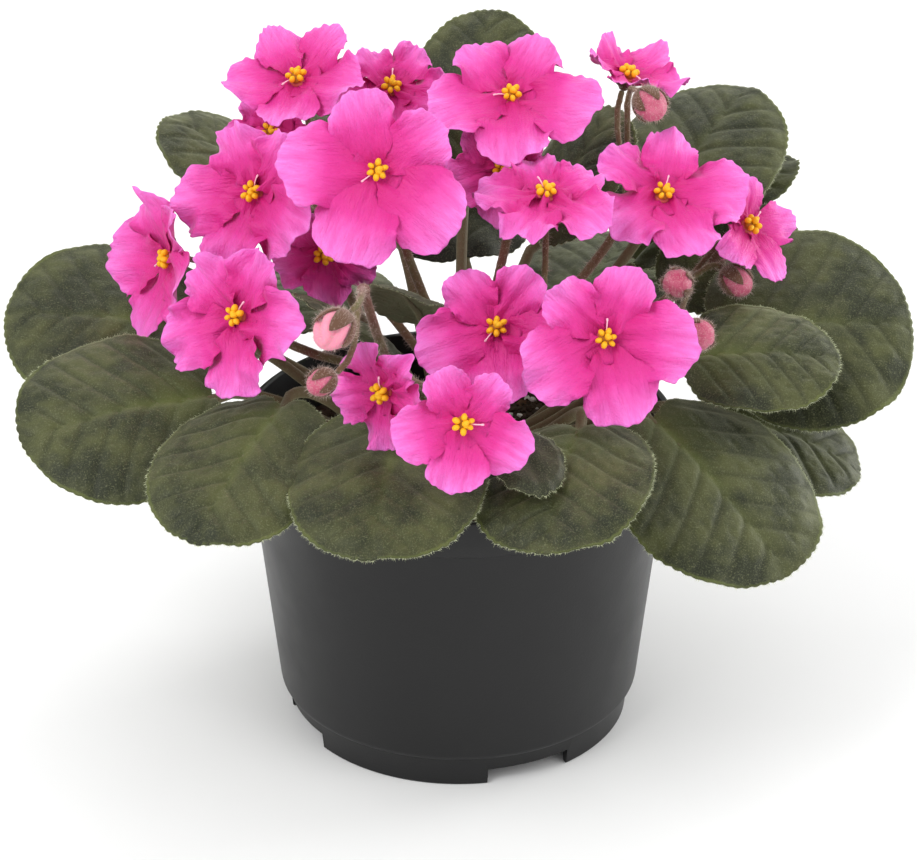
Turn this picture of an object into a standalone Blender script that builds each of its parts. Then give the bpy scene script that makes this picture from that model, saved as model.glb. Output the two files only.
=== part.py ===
"""Potted African violet: nursery pot, potting mix, crown, leaves, flower stalks, flowers and buds.

Metres, +Z up. The origin is on the floor under the middle of the pot, and the plant's best side
faces -Y. The tables below give places in millimetres from that origin and angles in degrees.
Each leaf, stalk, flower and bud is one closed solid, and stands GAP clear of what carries it.
"""
import math
from dataclasses import dataclass

import bmesh
import bpy
from mathutils import Matrix, Vector

MM = 0.001
GAP = 0.3 * MM

# Pot: a thin moulded shell with a collar under its rim and a notched foot.
POT_SEGMENTS = 56
RIM_RADIUS = 55.6 * MM
RIM_HEIGHT = 81.6 * MM
COLLAR_HEIGHT = 10.1 * MM
COLLAR_STEP = 0.9 * MM
WALL_BOTTOM_RADIUS = 47.3 * MM
WALL_BOTTOM_HEIGHT = 10.4 * MM
WALL_THICKNESS = 1.3 * MM
FOOT_RADIUS = 44.6 * MM
FOOT_THICKNESS = 1.9 * MM
FLOOR_UNDERSIDE = 8.6 * MM
FLOOR_TOP = 10.2 * MM
FOOT_NOTCHES = 4
FOOT_NOTCH_ANGLE = 29.0
FOOT_NOTCH_FIRST = -66.0
FOOT_NOTCH_HEIGHT = 4.6 * MM
FOOT_NOTCH_SLANT = 2.0
DRAIN_HOLES = 5
DRAIN_RADIUS = 4.0 * MM
DRAIN_CIRCLE = 27.0 * MM

# Potting mix and crown.
SOIL_TOP = 68.5 * MM
SOIL_MOUND = 1.5 * MM
SOIL_SEGMENTS = 36
CROWN_RADIUS = 9.0 * MM
CROWN_FOOT = 66.0 * MM
CROWN_DOME = 79.0 * MM
CROWN_SEGMENTS = 20
TIER_DROPS = (6.2 * MM, 2.2 * MM, 0.0)

# Leaves.
PETIOLE_RADIUS = 1.55 * MM
BLADE_THICKNESS = 1.3 * MM
PETIOLE_STEPS = 20
PETIOLE_STATIONS = (0.0, 0.2, 0.45, 0.7, 0.9)
BLADE_STATIONS = (0.04, 0.14, 0.30, 0.48, 0.66, 0.82, 0.93, 0.99)
BLADE_CURL = 0.10
BLADE_ACROSS = (-1.0, -0.55, 0.0, 0.55, 1.0, 0.55, 0.0, -0.55)

# Flowers, stalks and buds.
PETALS = 5
PETAL_THICKNESS = 0.8 * MM
THROAT_RADIUS = 2.2 * MM
ANTHER_HEIGHT = 3.4 * MM
CALYX_DEPTH = 3.4 * MM
UPPER_PETALS = (2, 3)
UPPER_PETAL_SIZE = 0.84
PETAL_CLEFT = 0.42
PETAL_STEPS = 5
PETAL_SHARES = (0.0, 0.55, 1.0)
PEDUNCLE_RADIUS = 1.35 * MM
PEDICEL_RADIUS = 0.95 * MM
STEM_SIDES = 6
PEDUNCLE_STEPS = 8
PEDICEL_STEPS = 7
FORK_SWELLING = 1.5
BUD_STRETCH = 1.15


@dataclass(frozen=True)
class Leaf:
    """One leaf: where it leaves the crown, and the two ends of its blade's midrib."""

    name: str
    tier: int
    attach: float
    rise: float
    base: tuple
    tip: tuple
    width: float
    roll: float = 0.0
    arch: float = 0.06


@dataclass(frozen=True)
class Flower:
    """One flower: its throat, the way it faces, its petals' reach and how far they cup."""

    name: str
    throat: tuple
    facing: tuple
    reach: float
    cup: float
    spin: float = 0.0


@dataclass(frozen=True)
class Bud:
    """One bud: the middle of the bud, the way its tip points, and its radius."""

    name: str
    middle: tuple
    facing: tuple
    radius: float


@dataclass(frozen=True)
class Stalk:
    """One flower stalk: how it leaves the crown, its fork, and what its branches carry."""

    name: str
    attach: float
    rise: float
    fork: tuple
    carries: tuple


LEAVES = (
    Leaf("leaf_01", 0, 180, 14, (-60, 3, 105), (-115, 5, 110), 54, -24),
    Leaf("leaf_02", 0, 206, 16, (-58, -30, 104), (-104, -48, 101), 52, -24),
    Leaf("leaf_03", 0, 232, 18, (-42, -38, 106), (-61, -82, 92), 41, -6),
    Leaf("leaf_04", 0, 260, 20, (-13, -43, 106), (-20, -93, 94), 46, 0),
    Leaf("leaf_05", 0, 298, 20, (29, -44, 104), (19, -90, 94), 42, 6),
    Leaf("leaf_06", 0, 326, 14, (46, -30, 98), (78, -64, 72), 53, 6),
    Leaf("leaf_07", 1, 338, 18, (54, -22, 110), (93, -24, 111), 36, 20),
    Leaf("leaf_08", 1, 5, 14, (62, 4, 106), (115, 2, 108), 60, 32),
    Leaf("leaf_09", 0, 350, 14, (60, -10, 90), (102, -14, 75), 40, 8),
    Leaf("leaf_10", 2, 30, 34, (50, 32, 124), (78, 74, 145), 44, 10),
    Leaf("leaf_11", 1, 46, 36, (46, 50, 104), (91, 68, 128), 30, 0),
    Leaf("leaf_12", 0, 24, 16, (54, 24, 106), (87, 42, 122), 28, 30),
    Leaf("leaf_13", 2, 88, 44, (2, 50, 129), (8, 84, 164), 37, 0),
    Leaf("leaf_14", 1, 145, 32, (-38, 28, 121), (-76, 52, 146), 36, 0),
    Leaf("leaf_15", 2, 236, 60, (-6, -12, 112), (-15, -28, 131), 28, 0),
    Leaf("leaf_16", 2, 57, 46, (20, 30, 118), (42, 50, 148), 30, 0),
    Leaf("leaf_17", 2, 210, 42, (-18, -9, 106), (-38, -21, 125), 28, 0),
    Leaf("leaf_18", 1, 115, 36, (-16, 38, 116), (-33, 74, 142), 34, 0),
    Leaf("leaf_19", 1, 281, 28, (13, -59, 109), (20, -79, 103), 17, 0),
    Leaf("leaf_20", 0, 155, 14, (-53, 22, 92), (-100, 46, 88), 48, 0),
    Leaf("leaf_21", 0, 126, 14, (-30, 42, 91), (-60, 90, 86), 50, 0),
    Leaf("leaf_22", 0, 95, 24, (2, 46, 106), (-4, 80, 124), 44, 0),
    Leaf("leaf_23", 0, 60, 14, (30, 47, 93), (54, 92, 96), 46, 0),
)

FLOWERS = (
    Flower("flower_01", (-19, -24, 159), (-90, 26), 24.5, 14, -20),
    Flower("flower_02", (13, 15, 163), (-90, 56), 22, 15, 4),
    Flower("flower_03", (50, 0, 143), (-72, 54), 20.5, 18, 8),
    Flower("flower_04", (21, -15, 149), (-90, 72), 18, 5, -20),
    Flower("flower_05", (11, 12, 146), (-90, 0), 16, 6, 0),
    Flower("flower_06", (34, -48, 127), (-86, 22), 22.5, 14, 12),
    Flower("flower_07", (9, -36, 124), (-92, 32), 19.5, 14, 4),
    Flower("flower_08", (1, -76, 119), (-86, 18), 18, 10, -10),
    Flower("flower_09", (-52, -34, 126), (-125, 24), 21, 17, 20),
    Flower("flower_10", (-49, -8, 147), (-128, 24), 21, 20, 0),
    Flower("flower_11", (-40, 22, 165), (-112, 60), 19, 18, 10),
    Flower("flower_12", (-71, -4, 128), (-152, 10), 22, 20, 0),
    Flower("flower_13", (-17, -62, 120), (-125, 0), 14.5, 12, 0),
    Flower("flower_14", (43, 38, 160), (-20, 70), 15, 26, 0),
    Flower("flower_15", (72, 7, 132), (-38, 34), 16, 16, 0),
    Flower("flower_16", (-17, 38, 157), (-90, 50), 16, 12, 0),
    Flower("flower_17", (-33, 0, 128), (-100, 0), 14, 8, 0),
    Flower("flower_18", (-48, 34, 147), (-92, 20), 13, 10, 0),
)

BUDS = (
    Bud("bud_01", (47, 10, 163), (-60, -20), 4.2),
    Bud("bud_02", (53, -17, 127), (-110, 30), 3.8),
    Bud("bud_03", (69, -2, 121), (-40, -30), 4.0),
    Bud("bud_04", (65, 14, 122), (60, 10), 3.4),
    Bud("bud_05", (57, -34, 121), (-60, 20), 4.0),
    Bud("bud_06", (-28, -68, 138), (-140, -30), 4.6),
    Bud("bud_07", (-31, -68, 125), (-150, -20), 3.2),
)

STALKS = (
    Stalk("flower_stalk_01", 182, 54, (-46, -12, 112), ("flower_09", "flower_12")),
    Stalk("flower_stalk_02", 150, 64, (-34, 21, 127), ("flower_10", "flower_11", "flower_18")),
    Stalk("flower_stalk_03", 112, 68, (-16, 8, 136), ("flower_01", "flower_16", "flower_17")),
    Stalk("flower_stalk_04", 48, 68, (14, 22, 132), ("flower_02", "flower_05")),
    Stalk("flower_stalk_05", 14, 58, (42, 18, 130), ("flower_03", "flower_14", "bud_01")),
    Stalk("flower_stalk_06", 338, 62, (56, 2, 118), ("flower_15", "bud_02", "bud_03", "bud_04", "bud_05")),
    Stalk("flower_stalk_07", 304, 60, (20, -14, 116), ("flower_04", "flower_06", "flower_07")),
    Stalk("flower_stalk_08", 266, 46, (-6, -40, 108), ("flower_08", "flower_13")),
    Stalk("flower_stalk_09", 232, 36, (-22, -46, 138), ("bud_06", "bud_07")),
)


def clear_scene():
    """Remove every object of the scene that the script starts from."""
    for obj in list(bpy.data.objects):
        bpy.data.objects.remove(obj, do_unlink=True)


def make_material(name, colour, roughness, subsurface=0.0):
    """Return a Principled material of one colour."""
    material = bpy.data.materials.new(name)
    material.use_nodes = True
    shader = material.node_tree.nodes["Principled BSDF"]
    shader.inputs["Base Color"].default_value = (*colour, 1.0)
    shader.inputs["Roughness"].default_value = roughness
    shader.inputs["Metallic"].default_value = 0.0
    shader.inputs["Subsurface Weight"].default_value = subsurface
    material.diffuse_color = (*colour, 1.0)
    return material


def mesh_object(name, mesh_builder, material, smooth=True):
    """Turn a bmesh into a named object with outward faces."""
    bmesh.ops.recalc_face_normals(mesh_builder, faces=mesh_builder.faces)
    mesh = bpy.data.meshes.new(name)
    mesh_builder.to_mesh(mesh)
    mesh_builder.free()
    if smooth:
        mesh.shade_smooth()
        mesh.set_sharp_from_angle(angle=math.radians(40.0))
    mesh.materials.append(material)
    obj = bpy.data.objects.new(name, mesh)
    bpy.context.scene.collection.objects.link(obj)
    return obj


def spherical(azimuth, elevation):
    """Return the unit vector at an azimuth from +X and an elevation, both in degrees."""
    az = math.radians(azimuth)
    el = math.radians(elevation)
    return Vector((math.cos(az) * math.cos(el), math.sin(az) * math.cos(el), math.sin(el)))


def upright_frame(normal, spin):
    """Return a rotation whose Z is the normal and whose Y points up, turned by spin degrees."""
    side = Vector((0, 0, 1)).cross(normal)
    side = side.normalized() if side.length > 1e-6 else Vector((1, 0, 0))
    top = normal.cross(side)
    frame = Matrix((side, top, normal)).transposed()
    return frame @ Matrix.Rotation(math.radians(spin), 3, "Z")


def bridge(builder, lower, upper):
    """Join two rings of vertices with quads, or a ring to a single pole vertex."""
    count = max(len(lower), len(upper))
    for i in range(count):
        j = (i + 1) % count
        if len(upper) == 1:
            builder.faces.new((lower[i], lower[j], upper[0]))
        elif len(lower) == 1:
            builder.faces.new((lower[0], upper[j], upper[i]))
        else:
            builder.faces.new((lower[i], lower[j], upper[j], upper[i]))


def turn_profile(profile, segments):
    """Return a bmesh of a profile of (radius, height) pairs turned about Z."""
    builder = bmesh.new()
    rings = []
    for radius, height in profile:
        if radius < 1e-7:
            rings.append([builder.verts.new((0.0, 0.0, height))])
            continue
        ring = []
        for i in range(segments):
            angle = math.tau * i / segments
            ring.append(builder.verts.new((radius * math.cos(angle), radius * math.sin(angle), height)))
        rings.append(ring)
    for lower, upper in zip(rings, rings[1:]):
        bridge(builder, lower, upper)
    return builder


def bezier(start, start_way, end, end_way, count):
    """Return points along a cubic curve from start to end, with the given end directions."""
    reach = (end - start).length / 3.0
    inner = (start, start + start_way * reach, end - end_way * reach, end)
    points = []
    for i in range(count):
        t = i / (count - 1)
        s = 1.0 - t
        weights = (s * s * s, 3 * s * s * t, 3 * s * t * t, t * t * t)
        points.append(sum((p * w for p, w in zip(inner, weights)), Vector()))
    return points


def tangents(points):
    """Return the unit tangent at each point of a path."""
    result = []
    for i in range(len(points)):
        before = points[max(i - 1, 0)]
        after = points[min(i + 1, len(points) - 1)]
        result.append((after - before).normalized())
    return result


def loft(loops):
    """Return a bmesh skinned over a list of closed loops of points, with flat end caps."""
    builder = bmesh.new()
    rings = [[builder.verts.new(p) for p in loop] for loop in loops]
    for lower, upper in zip(rings, rings[1:]):
        bridge(builder, lower, upper)
    builder.faces.new(rings[0])
    builder.faces.new(rings[-1])
    return builder


def bake_modifiers(obj):
    """Replace an object's mesh with its evaluated mesh and drop its modifiers."""
    bpy.context.view_layer.update()
    graph = bpy.context.evaluated_depsgraph_get()
    mesh = bpy.data.meshes.new_from_object(obj.evaluated_get(graph))
    obj.modifiers.clear()
    obj.data = mesh
    mesh.shade_smooth()
    mesh.set_sharp_from_angle(angle=math.radians(40.0))


def combine(obj, shape_builder, operation):
    """Join a shape to an object, or cut it out, for good, and remove the shape."""
    shape = mesh_object("shape", shape_builder, obj.data.materials[0], smooth=False)
    modifier = obj.modifiers.new("combine", "BOOLEAN")
    modifier.operation = operation
    modifier.solver = "EXACT"
    modifier.object = shape
    bake_modifiers(obj)
    bpy.data.objects.remove(shape, do_unlink=True)


def crown_seat(direction, drop, radius):
    """Return the point where a stem of this radius meets the crown's skin, GAP clear of it."""
    centre = Vector((0.0, 0.0, CROWN_DOME - drop))
    sagitta = radius * radius / (2.0 * CROWN_RADIUS)
    reach = CROWN_RADIUS + GAP + sagitta
    if drop == 0.0:
        return centre + direction * reach
    level = Vector((direction.x, direction.y, 0.0)).normalized()
    return centre + level * (reach + radius * direction.z)


# Pot, potting mix and crown.


def pot_profile():
    """Return the closed outline of the pot's wall, from the middle of its underside outwards."""
    slope = (RIM_RADIUS - COLLAR_STEP - WALL_BOTTOM_RADIUS) / (RIM_HEIGHT - WALL_BOTTOM_HEIGHT)
    collar_low = RIM_HEIGHT - COLLAR_HEIGHT
    wall_top = WALL_BOTTOM_RADIUS + slope * (collar_low - WALL_BOTTOM_HEIGHT)
    inner_bottom = WALL_BOTTOM_RADIUS - WALL_THICKNESS
    inner_top = RIM_RADIUS - WALL_THICKNESS - 0.6 * MM
    return (
        (0.0, FLOOR_UNDERSIDE),
        (FOOT_RADIUS - FOOT_THICKNESS + 0.4 * MM, FLOOR_UNDERSIDE),
        (FOOT_RADIUS - FOOT_THICKNESS, 0.0),
        (FOOT_RADIUS, 0.0),
        (FOOT_RADIUS + 0.8 * MM, FLOOR_UNDERSIDE + 0.2 * MM),
        (WALL_BOTTOM_RADIUS, WALL_BOTTOM_HEIGHT),
        (wall_top, collar_low),
        (wall_top + COLLAR_STEP, collar_low + 0.2 * MM),
        (RIM_RADIUS, RIM_HEIGHT - 0.5 * MM),
        (RIM_RADIUS - 0.5 * MM, RIM_HEIGHT),
        (inner_top + 0.4 * MM, RIM_HEIGHT),
        (inner_top, RIM_HEIGHT - 0.5 * MM),
        (inner_bottom + 0.3 * MM, FLOOR_TOP + 1.2 * MM),
        (inner_bottom - 1.0 * MM, FLOOR_TOP),
        (0.0, FLOOR_TOP),
    )


def inner_radius(height):
    """Return the radius of the pot's inside at a height."""
    outline = pot_profile()
    top_radius, top_height = outline[11]
    low_radius, low_height = outline[12]
    share = (height - low_height) / (top_height - low_height)
    return low_radius + share * (top_radius - low_radius)


def notch_cutter(middle):
    """Return a wedge that cuts one notch in the foot, centred on an angle in degrees."""
    low_half = FOOT_NOTCH_ANGLE / 2.0
    top_half = low_half - FOOT_NOTCH_SLANT
    below_floor = -2.0 * MM
    corners = (
        (-low_half, below_floor),
        (low_half, below_floor),
        (top_half, FOOT_NOTCH_HEIGHT),
        (-top_half, FOOT_NOTCH_HEIGHT),
    )
    loops = []
    for radius in (FOOT_RADIUS - 4.0 * FOOT_THICKNESS, FOOT_RADIUS + 6.0 * MM):
        loop = []
        for angle, height in corners:
            turned = math.radians(middle + angle)
            loop.append(Vector((radius * math.cos(turned), radius * math.sin(turned), height)))
        loops.append(loop)
    return loft(loops)


def drain_cutter(angle):
    """Return a short round bar that cuts one drain hole."""
    middle = Vector((math.cos(angle) * DRAIN_CIRCLE, math.sin(angle) * DRAIN_CIRCLE, FLOOR_TOP))
    builder = bmesh.new()
    bmesh.ops.create_cone(builder, cap_ends=True, segments=12, radius1=DRAIN_RADIUS, radius2=DRAIN_RADIUS,
                          depth=8.0 * MM, matrix=Matrix.Translation(middle))
    return builder


def build_pot(material):
    """Build the pot with its foot notches and drain holes."""
    pot = mesh_object("pot", turn_profile(pot_profile(), POT_SEGMENTS), material)
    for i in range(FOOT_NOTCHES):
        combine(pot, notch_cutter(FOOT_NOTCH_FIRST + 360.0 * i / FOOT_NOTCHES), "DIFFERENCE")
    for i in range(DRAIN_HOLES):
        combine(pot, drain_cutter(math.tau * (i + 0.25) / DRAIN_HOLES), "DIFFERENCE")
    return pot


def build_soil(material):
    """Build the potting mix, which fills the pot and has a socket for the crown."""
    low = FLOOR_TOP + 1.5 * MM
    socket = CROWN_RADIUS + GAP
    profile = (
        (0.0, FLOOR_TOP + GAP),
        (inner_radius(low) - 1.6 * MM, FLOOR_TOP + GAP),
        (inner_radius(low) - GAP, low),
        (inner_radius(SOIL_TOP) - GAP, SOIL_TOP - 0.5 * MM),
        (inner_radius(SOIL_TOP) * 0.7, SOIL_TOP + SOIL_MOUND * 0.4),
        (socket + 4.0 * MM, SOIL_TOP + SOIL_MOUND),
        (socket, SOIL_TOP + SOIL_MOUND * 0.6),
        (socket, CROWN_FOOT - GAP),
        (0.0, CROWN_FOOT - GAP),
    )
    return mesh_object("potting_mix", turn_profile(profile, SOIL_SEGMENTS), material)


def build_crown(material):
    """Build the short woody crown that carries every leaf and flower stalk."""
    profile = [(0.0, CROWN_FOOT), (CROWN_RADIUS, CROWN_FOOT), (CROWN_RADIUS, CROWN_DOME)]
    for angle in (15.0, 30.0, 45.0, 60.0, 75.0):
        turned = math.radians(angle)
        profile.append((CROWN_RADIUS * math.cos(turned), CROWN_DOME + CROWN_RADIUS * math.sin(turned)))
    profile.append((0.0, CROWN_DOME + CROWN_RADIUS))
    return mesh_object("crown_stem", turn_profile(profile, CROWN_SEGMENTS), material)


# Leaves.


def blade_half_width(leaf, s):
    """Return the blade's half width at a share s of its length: a broad oval."""
    return 0.5 * leaf.width * MM * math.sqrt(max(1.0 - (2.0 * s - 1.0) ** 2, 0.0)) ** 0.9


def petiole_section(centre, side, normal):
    """Return the eight points of a petiole's round cross-section."""
    points = []
    for i in range(len(BLADE_ACROSS)):
        angle = math.pi - math.tau * i / len(BLADE_ACROSS)
        offset = side * math.cos(angle) + normal * math.sin(angle)
        points.append(centre + offset * PETIOLE_RADIUS)
    return points


def blade_section(centre, side, normal, half_width):
    """Return the eight points of a blade's flat cross-section, whose edges curl down."""
    points = []
    for i, across in enumerate(BLADE_ACROSS):
        angle = math.pi - math.tau * i / len(BLADE_ACROSS)
        lift = 0.5 * BLADE_THICKNESS * math.sin(angle) - BLADE_CURL * half_width * across * across
        points.append(centre + side * (across * half_width) + normal * lift)
    return points


def leaf_axes(leaf):
    """Return the blade's length, side and normal directions."""
    along = (Vector(leaf.tip) - Vector(leaf.base)).normalized()
    side = along.cross(Vector((0, 0, 1))).normalized()
    turn = Matrix.Rotation(math.radians(leaf.roll), 3, along)
    side = turn @ side
    return along, side, side.cross(along).normalized()


def build_leaf(leaf, material):
    """Build a leaf as one skin: a round petiole that flattens into the blade."""
    along, side, normal = leaf_axes(leaf)
    base = Vector(leaf.base) * MM
    tip = Vector(leaf.tip) * MM
    length = (tip - base).length
    start_way = spherical(leaf.attach, leaf.rise)
    start = crown_seat(start_way, TIER_DROPS[leaf.tier], PETIOLE_RADIUS)
    end_way = (along + normal * 4.0 * leaf.arch).normalized()
    path = bezier(start, start_way, base, end_way, PETIOLE_STEPS + 1)
    loops = []
    for share in PETIOLE_STATIONS:
        i = round(share * PETIOLE_STEPS)
        way = start_way if i == 0 else (path[i + 1] - path[i - 1]).normalized()
        across = (side - way * side.dot(way)).normalized()
        loops.append(petiole_section(path[i], across, across.cross(way)))
    for s in BLADE_STATIONS:
        middle = base + (tip - base) * s + normal * (4.0 * leaf.arch * s * (1.0 - s) * length)
        slope = (along + normal * 4.0 * leaf.arch * (1.0 - 2.0 * s)).normalized()
        loops.append(blade_section(middle, side, side.cross(slope), blade_half_width(leaf, s)))
    return mesh_object(leaf.name, loft(loops), material)


# Flowers and buds.


def petal_reach(flower, angle):
    """Return how far the petals reach at an angle round the flower, in metres."""
    share = angle * PETALS / 360.0
    index = round(share)
    off = 2.0 * abs(share - index)
    size = UPPER_PETAL_SIZE if index % PETALS in UPPER_PETALS else 1.0
    return flower.reach * MM * size * (1.0 - PETAL_CLEFT * off ** 3)


def petal_lift(flower, radius, share):
    """Return how far a petal stands in front of the throat at a radius; it cups less at its tip."""
    rise = math.tan(math.radians(flower.cup))
    return rise * (radius - THROAT_RADIUS) * (1.15 - 0.3 * share)


def petal_ring(flower, share):
    """Return the points of one ring round the petals, at a share of their reach, in flower axes."""
    points = []
    count = PETALS * PETAL_STEPS
    for i in range(count):
        angle = (i - PETAL_STEPS // 2) * 360.0 / count
        outer = petal_reach(flower, angle % 360.0)
        radius = THROAT_RADIUS + share * (outer - THROAT_RADIUS)
        turned = math.radians(angle - 90.0)
        lift = petal_lift(flower, radius, share)
        points.append(Vector((radius * math.cos(turned), radius * math.sin(turned), lift)))
    return points


def build_flower(flower, material):
    """Build a flower as one solid: five joined petals round a raised centre, with a calyx behind."""
    turn = upright_frame(spherical(*flower.facing), flower.spin)
    throat = Vector(flower.throat) * MM
    thickness = Vector((0, 0, PETAL_THICKNESS))
    builder = bmesh.new()
    front_rings = []
    back_rings = []
    for share in PETAL_SHARES:
        ring = petal_ring(flower, share)
        front_rings.append([builder.verts.new(throat + turn @ p) for p in ring])
        back_rings.append([builder.verts.new(throat + turn @ (p - thickness)) for p in ring])
    pole = builder.verts.new(throat + turn @ Vector((0, 0, ANTHER_HEIGHT)))
    calyx = builder.verts.new(throat - turn @ Vector((0, 0, CALYX_DEPTH)))
    bridge(builder, front_rings[0], [pole])
    bridge(builder, back_rings[0], [calyx])
    for rings in (front_rings, back_rings):
        for inner, outer in zip(rings, rings[1:]):
            bridge(builder, inner, outer)
    bridge(builder, front_rings[-1], back_rings[-1])
    return mesh_object(flower.name, builder, material)


def build_bud(bud, material):
    """Build a closed bud: a small egg."""
    turn = upright_frame(spherical(*bud.facing), 0.0).to_4x4()
    stretch = Matrix.Diagonal((1.0, 1.0, BUD_STRETCH, 1.0))
    place = Matrix.Translation(Vector(bud.middle) * MM) @ turn @ stretch
    builder = bmesh.new()
    bmesh.ops.create_icosphere(builder, subdivisions=2, radius=bud.radius * MM, matrix=place)
    return mesh_object(bud.name, builder, material)


# Flower stalks.


def stem_builder(points, radius):
    """Return a bmesh of a round stem along a path, with flat ends."""
    ways = tangents(points)
    side = ways[0].orthogonal().normalized()
    loops = []
    for point, way in zip(points, ways):
        side = (side - way * side.dot(way)).normalized()
        up = way.cross(side)
        loop = []
        for i in range(STEM_SIDES):
            angle = math.tau * i / STEM_SIDES
            loop.append(point + (side * math.cos(angle) + up * math.sin(angle)) * radius)
        loops.append(loop)
    return loft(loops)


def carried_seat(name):
    """Return where a branch ends behind the flower or bud it carries, and its direction there."""
    for flower in FLOWERS:
        if flower.name == name:
            facing = spherical(*flower.facing)
            return Vector(flower.throat) * MM - facing * (CALYX_DEPTH + GAP), facing
    for bud in BUDS:
        if bud.name == name:
            facing = spherical(*bud.facing)
            back = bud.radius * MM * BUD_STRETCH + GAP + 0.1 * MM
            return Vector(bud.middle) * MM - facing * back, facing
    raise ValueError(name)


def build_stalk(stalk, material):
    """Build a stalk and its branches as one solid, joined at a small swelling."""
    start_way = spherical(stalk.attach, stalk.rise)
    start = crown_seat(start_way, 0.0, PEDUNCLE_RADIUS)
    fork = Vector(stalk.fork) * MM
    end_way = ((fork - start).normalized() + Vector((0, 0, 0.5))).normalized()
    path = bezier(start, start_way, fork, end_way, PEDUNCLE_STEPS)
    obj = mesh_object(stalk.name, stem_builder(path, PEDUNCLE_RADIUS), material)
    swelling = bmesh.new()
    bmesh.ops.create_icosphere(swelling, subdivisions=1, radius=FORK_SWELLING * PEDUNCLE_RADIUS,
                               matrix=Matrix.Translation(fork))
    shapes = [swelling]
    for name in stalk.carries:
        seat, facing = carried_seat(name)
        leave = ((seat - fork).normalized() + end_way * 0.6).normalized()
        shapes.append(stem_builder(bezier(fork, leave, seat, facing, PEDICEL_STEPS), PEDICEL_RADIUS))
    for shape in shapes:
        combine(obj, shape, "UNION")
    return obj


def main():
    """Build the whole potted plant."""
    clear_scene()
    build_pot(make_material("black plastic", (0.022, 0.022, 0.023), 0.42))
    build_soil(make_material("potting mix", (0.035, 0.022, 0.014), 0.95))
    green = make_material("leaf green", (0.045, 0.075, 0.030), 0.6, 0.05)
    build_crown(green)
    for leaf in LEAVES:
        build_leaf(leaf, green)
    pink = make_material("petal pink", (0.86, 0.10, 0.34), 0.5, 0.1)
    for flower in FLOWERS:
        build_flower(flower, pink)
    stem = make_material("stalk red brown", (0.16, 0.05, 0.04), 0.6, 0.05)
    for stalk in STALKS:
        build_stalk(stalk, stem)
    bud_pink = make_material("bud pink", (0.45, 0.08, 0.14), 0.6, 0.1)
    for bud in BUDS:
        build_bud(bud, bud_pink)


main()
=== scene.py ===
"""Potted African violet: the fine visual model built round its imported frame.

Every length is in metres in the frame's own axes: +Z up, the plant's best side towards -Y. The
plans below repeat the plant's own layout in millimetres and degrees; each piece is then seated on
the box of the solid that it stands for.
"""
import logging
import math
from dataclasses import dataclass, field
from enum import Enum
from typing import Iterable, Sequence

import bmesh
import bpy
import numpy as np
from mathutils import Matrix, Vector


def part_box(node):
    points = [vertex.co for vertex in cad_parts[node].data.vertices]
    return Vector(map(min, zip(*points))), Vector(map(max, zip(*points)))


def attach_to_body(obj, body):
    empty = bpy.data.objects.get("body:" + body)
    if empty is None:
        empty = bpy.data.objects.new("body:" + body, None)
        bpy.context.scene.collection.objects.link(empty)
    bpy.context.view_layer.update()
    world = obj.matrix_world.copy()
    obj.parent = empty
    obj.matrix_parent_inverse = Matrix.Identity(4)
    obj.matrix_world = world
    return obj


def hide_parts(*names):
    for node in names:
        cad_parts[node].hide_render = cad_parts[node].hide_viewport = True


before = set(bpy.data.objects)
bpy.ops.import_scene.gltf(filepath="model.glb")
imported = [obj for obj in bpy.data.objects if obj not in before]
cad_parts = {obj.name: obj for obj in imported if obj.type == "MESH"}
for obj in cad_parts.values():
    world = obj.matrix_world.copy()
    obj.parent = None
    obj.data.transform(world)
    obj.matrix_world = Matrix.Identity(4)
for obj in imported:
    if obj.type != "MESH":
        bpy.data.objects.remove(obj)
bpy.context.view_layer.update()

LOG = logging.getLogger("violet")
MM = 0.001
BODY = "root"
GAP = 0.3 * MM
CROWN_RADIUS = 9.0 * MM
CROWN_DOME = 79.0 * MM
TIER_DROPS = (6.2 * MM, 2.2 * MM, 0.0)

Colour = tuple[float, float, float]
Socket = bpy.types.NodeSocket
Node = bpy.types.Node
Tree = bpy.types.NodeTree

COLOUR = "NodeSocketColor"
FLOAT = "NodeSocketFloat"
WHOLE = "NodeSocketInt"
VECTOR = "NodeSocketVector"
GEOMETRY = "NodeSocketGeometry"


class Slot(Enum):
    """The record's material slots."""

    POT = "pot_plastic"
    MIX = "potting_mix"
    STEM = "stem"
    LEAF = "leaf"
    PETAL = "petal"
    BUD = "bud"


class Habit(Enum):
    """How a flower holds its petals: ruffle height, tip reflex, waves round a petal, fullness."""

    FLAT = (1.05, 0.6, 4.0, 0.05)
    WAVY = (1.45, 0.9, 5.0, 0.03)
    RUFFLED = (1.8, 1.0, 6.0, 0.06)
    PINCHED = (1.5, -0.6, 4.0, 0.0)
    STARRY = (0.9, 1.2, 4.0, 0.0)

    @property
    def ruffle(self) -> float:
        """Height of the waves at a petal's rim, in metres."""
        return self.value[0] * MM

    @property
    def reflex(self) -> float:
        """How far a petal's tip bends back, in metres."""
        return self.value[1] * MM

    @property
    def waves(self) -> float:
        """Number of waves round a petal."""
        return self.value[2]

    @property
    def fullness(self) -> float:
        """Share of a square in a petal's outline, which is round at 0."""
        return self.value[3]


class LeafLooks(Enum):
    """How a leaf looks: share of the full quilting, of the green at its midrib, and painted shade.
    """

    FULL = (1.0, 1.0, 0.0)
    PALE = (0.8, 1.3, 0.0)
    # A smooth young leaf, darkened with painted shade as it lies in shadow.
    YOUNG_SHADED = (0.15, 0.1, 0.75)
    SHADED = (0.5, 0.5, 0.55)

    @property
    def quilting(self) -> float:
        """Share of the full quilting."""
        return self.value[0]

    @property
    def greenness(self) -> float:
        """Share of the green at the midrib."""
        return self.value[1]

    @property
    def painted_shade_share(self) -> float:
        """How much painted shade darkens the blade, from 0 to 1."""
        return self.value[2]


# Vector helpers.


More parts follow.
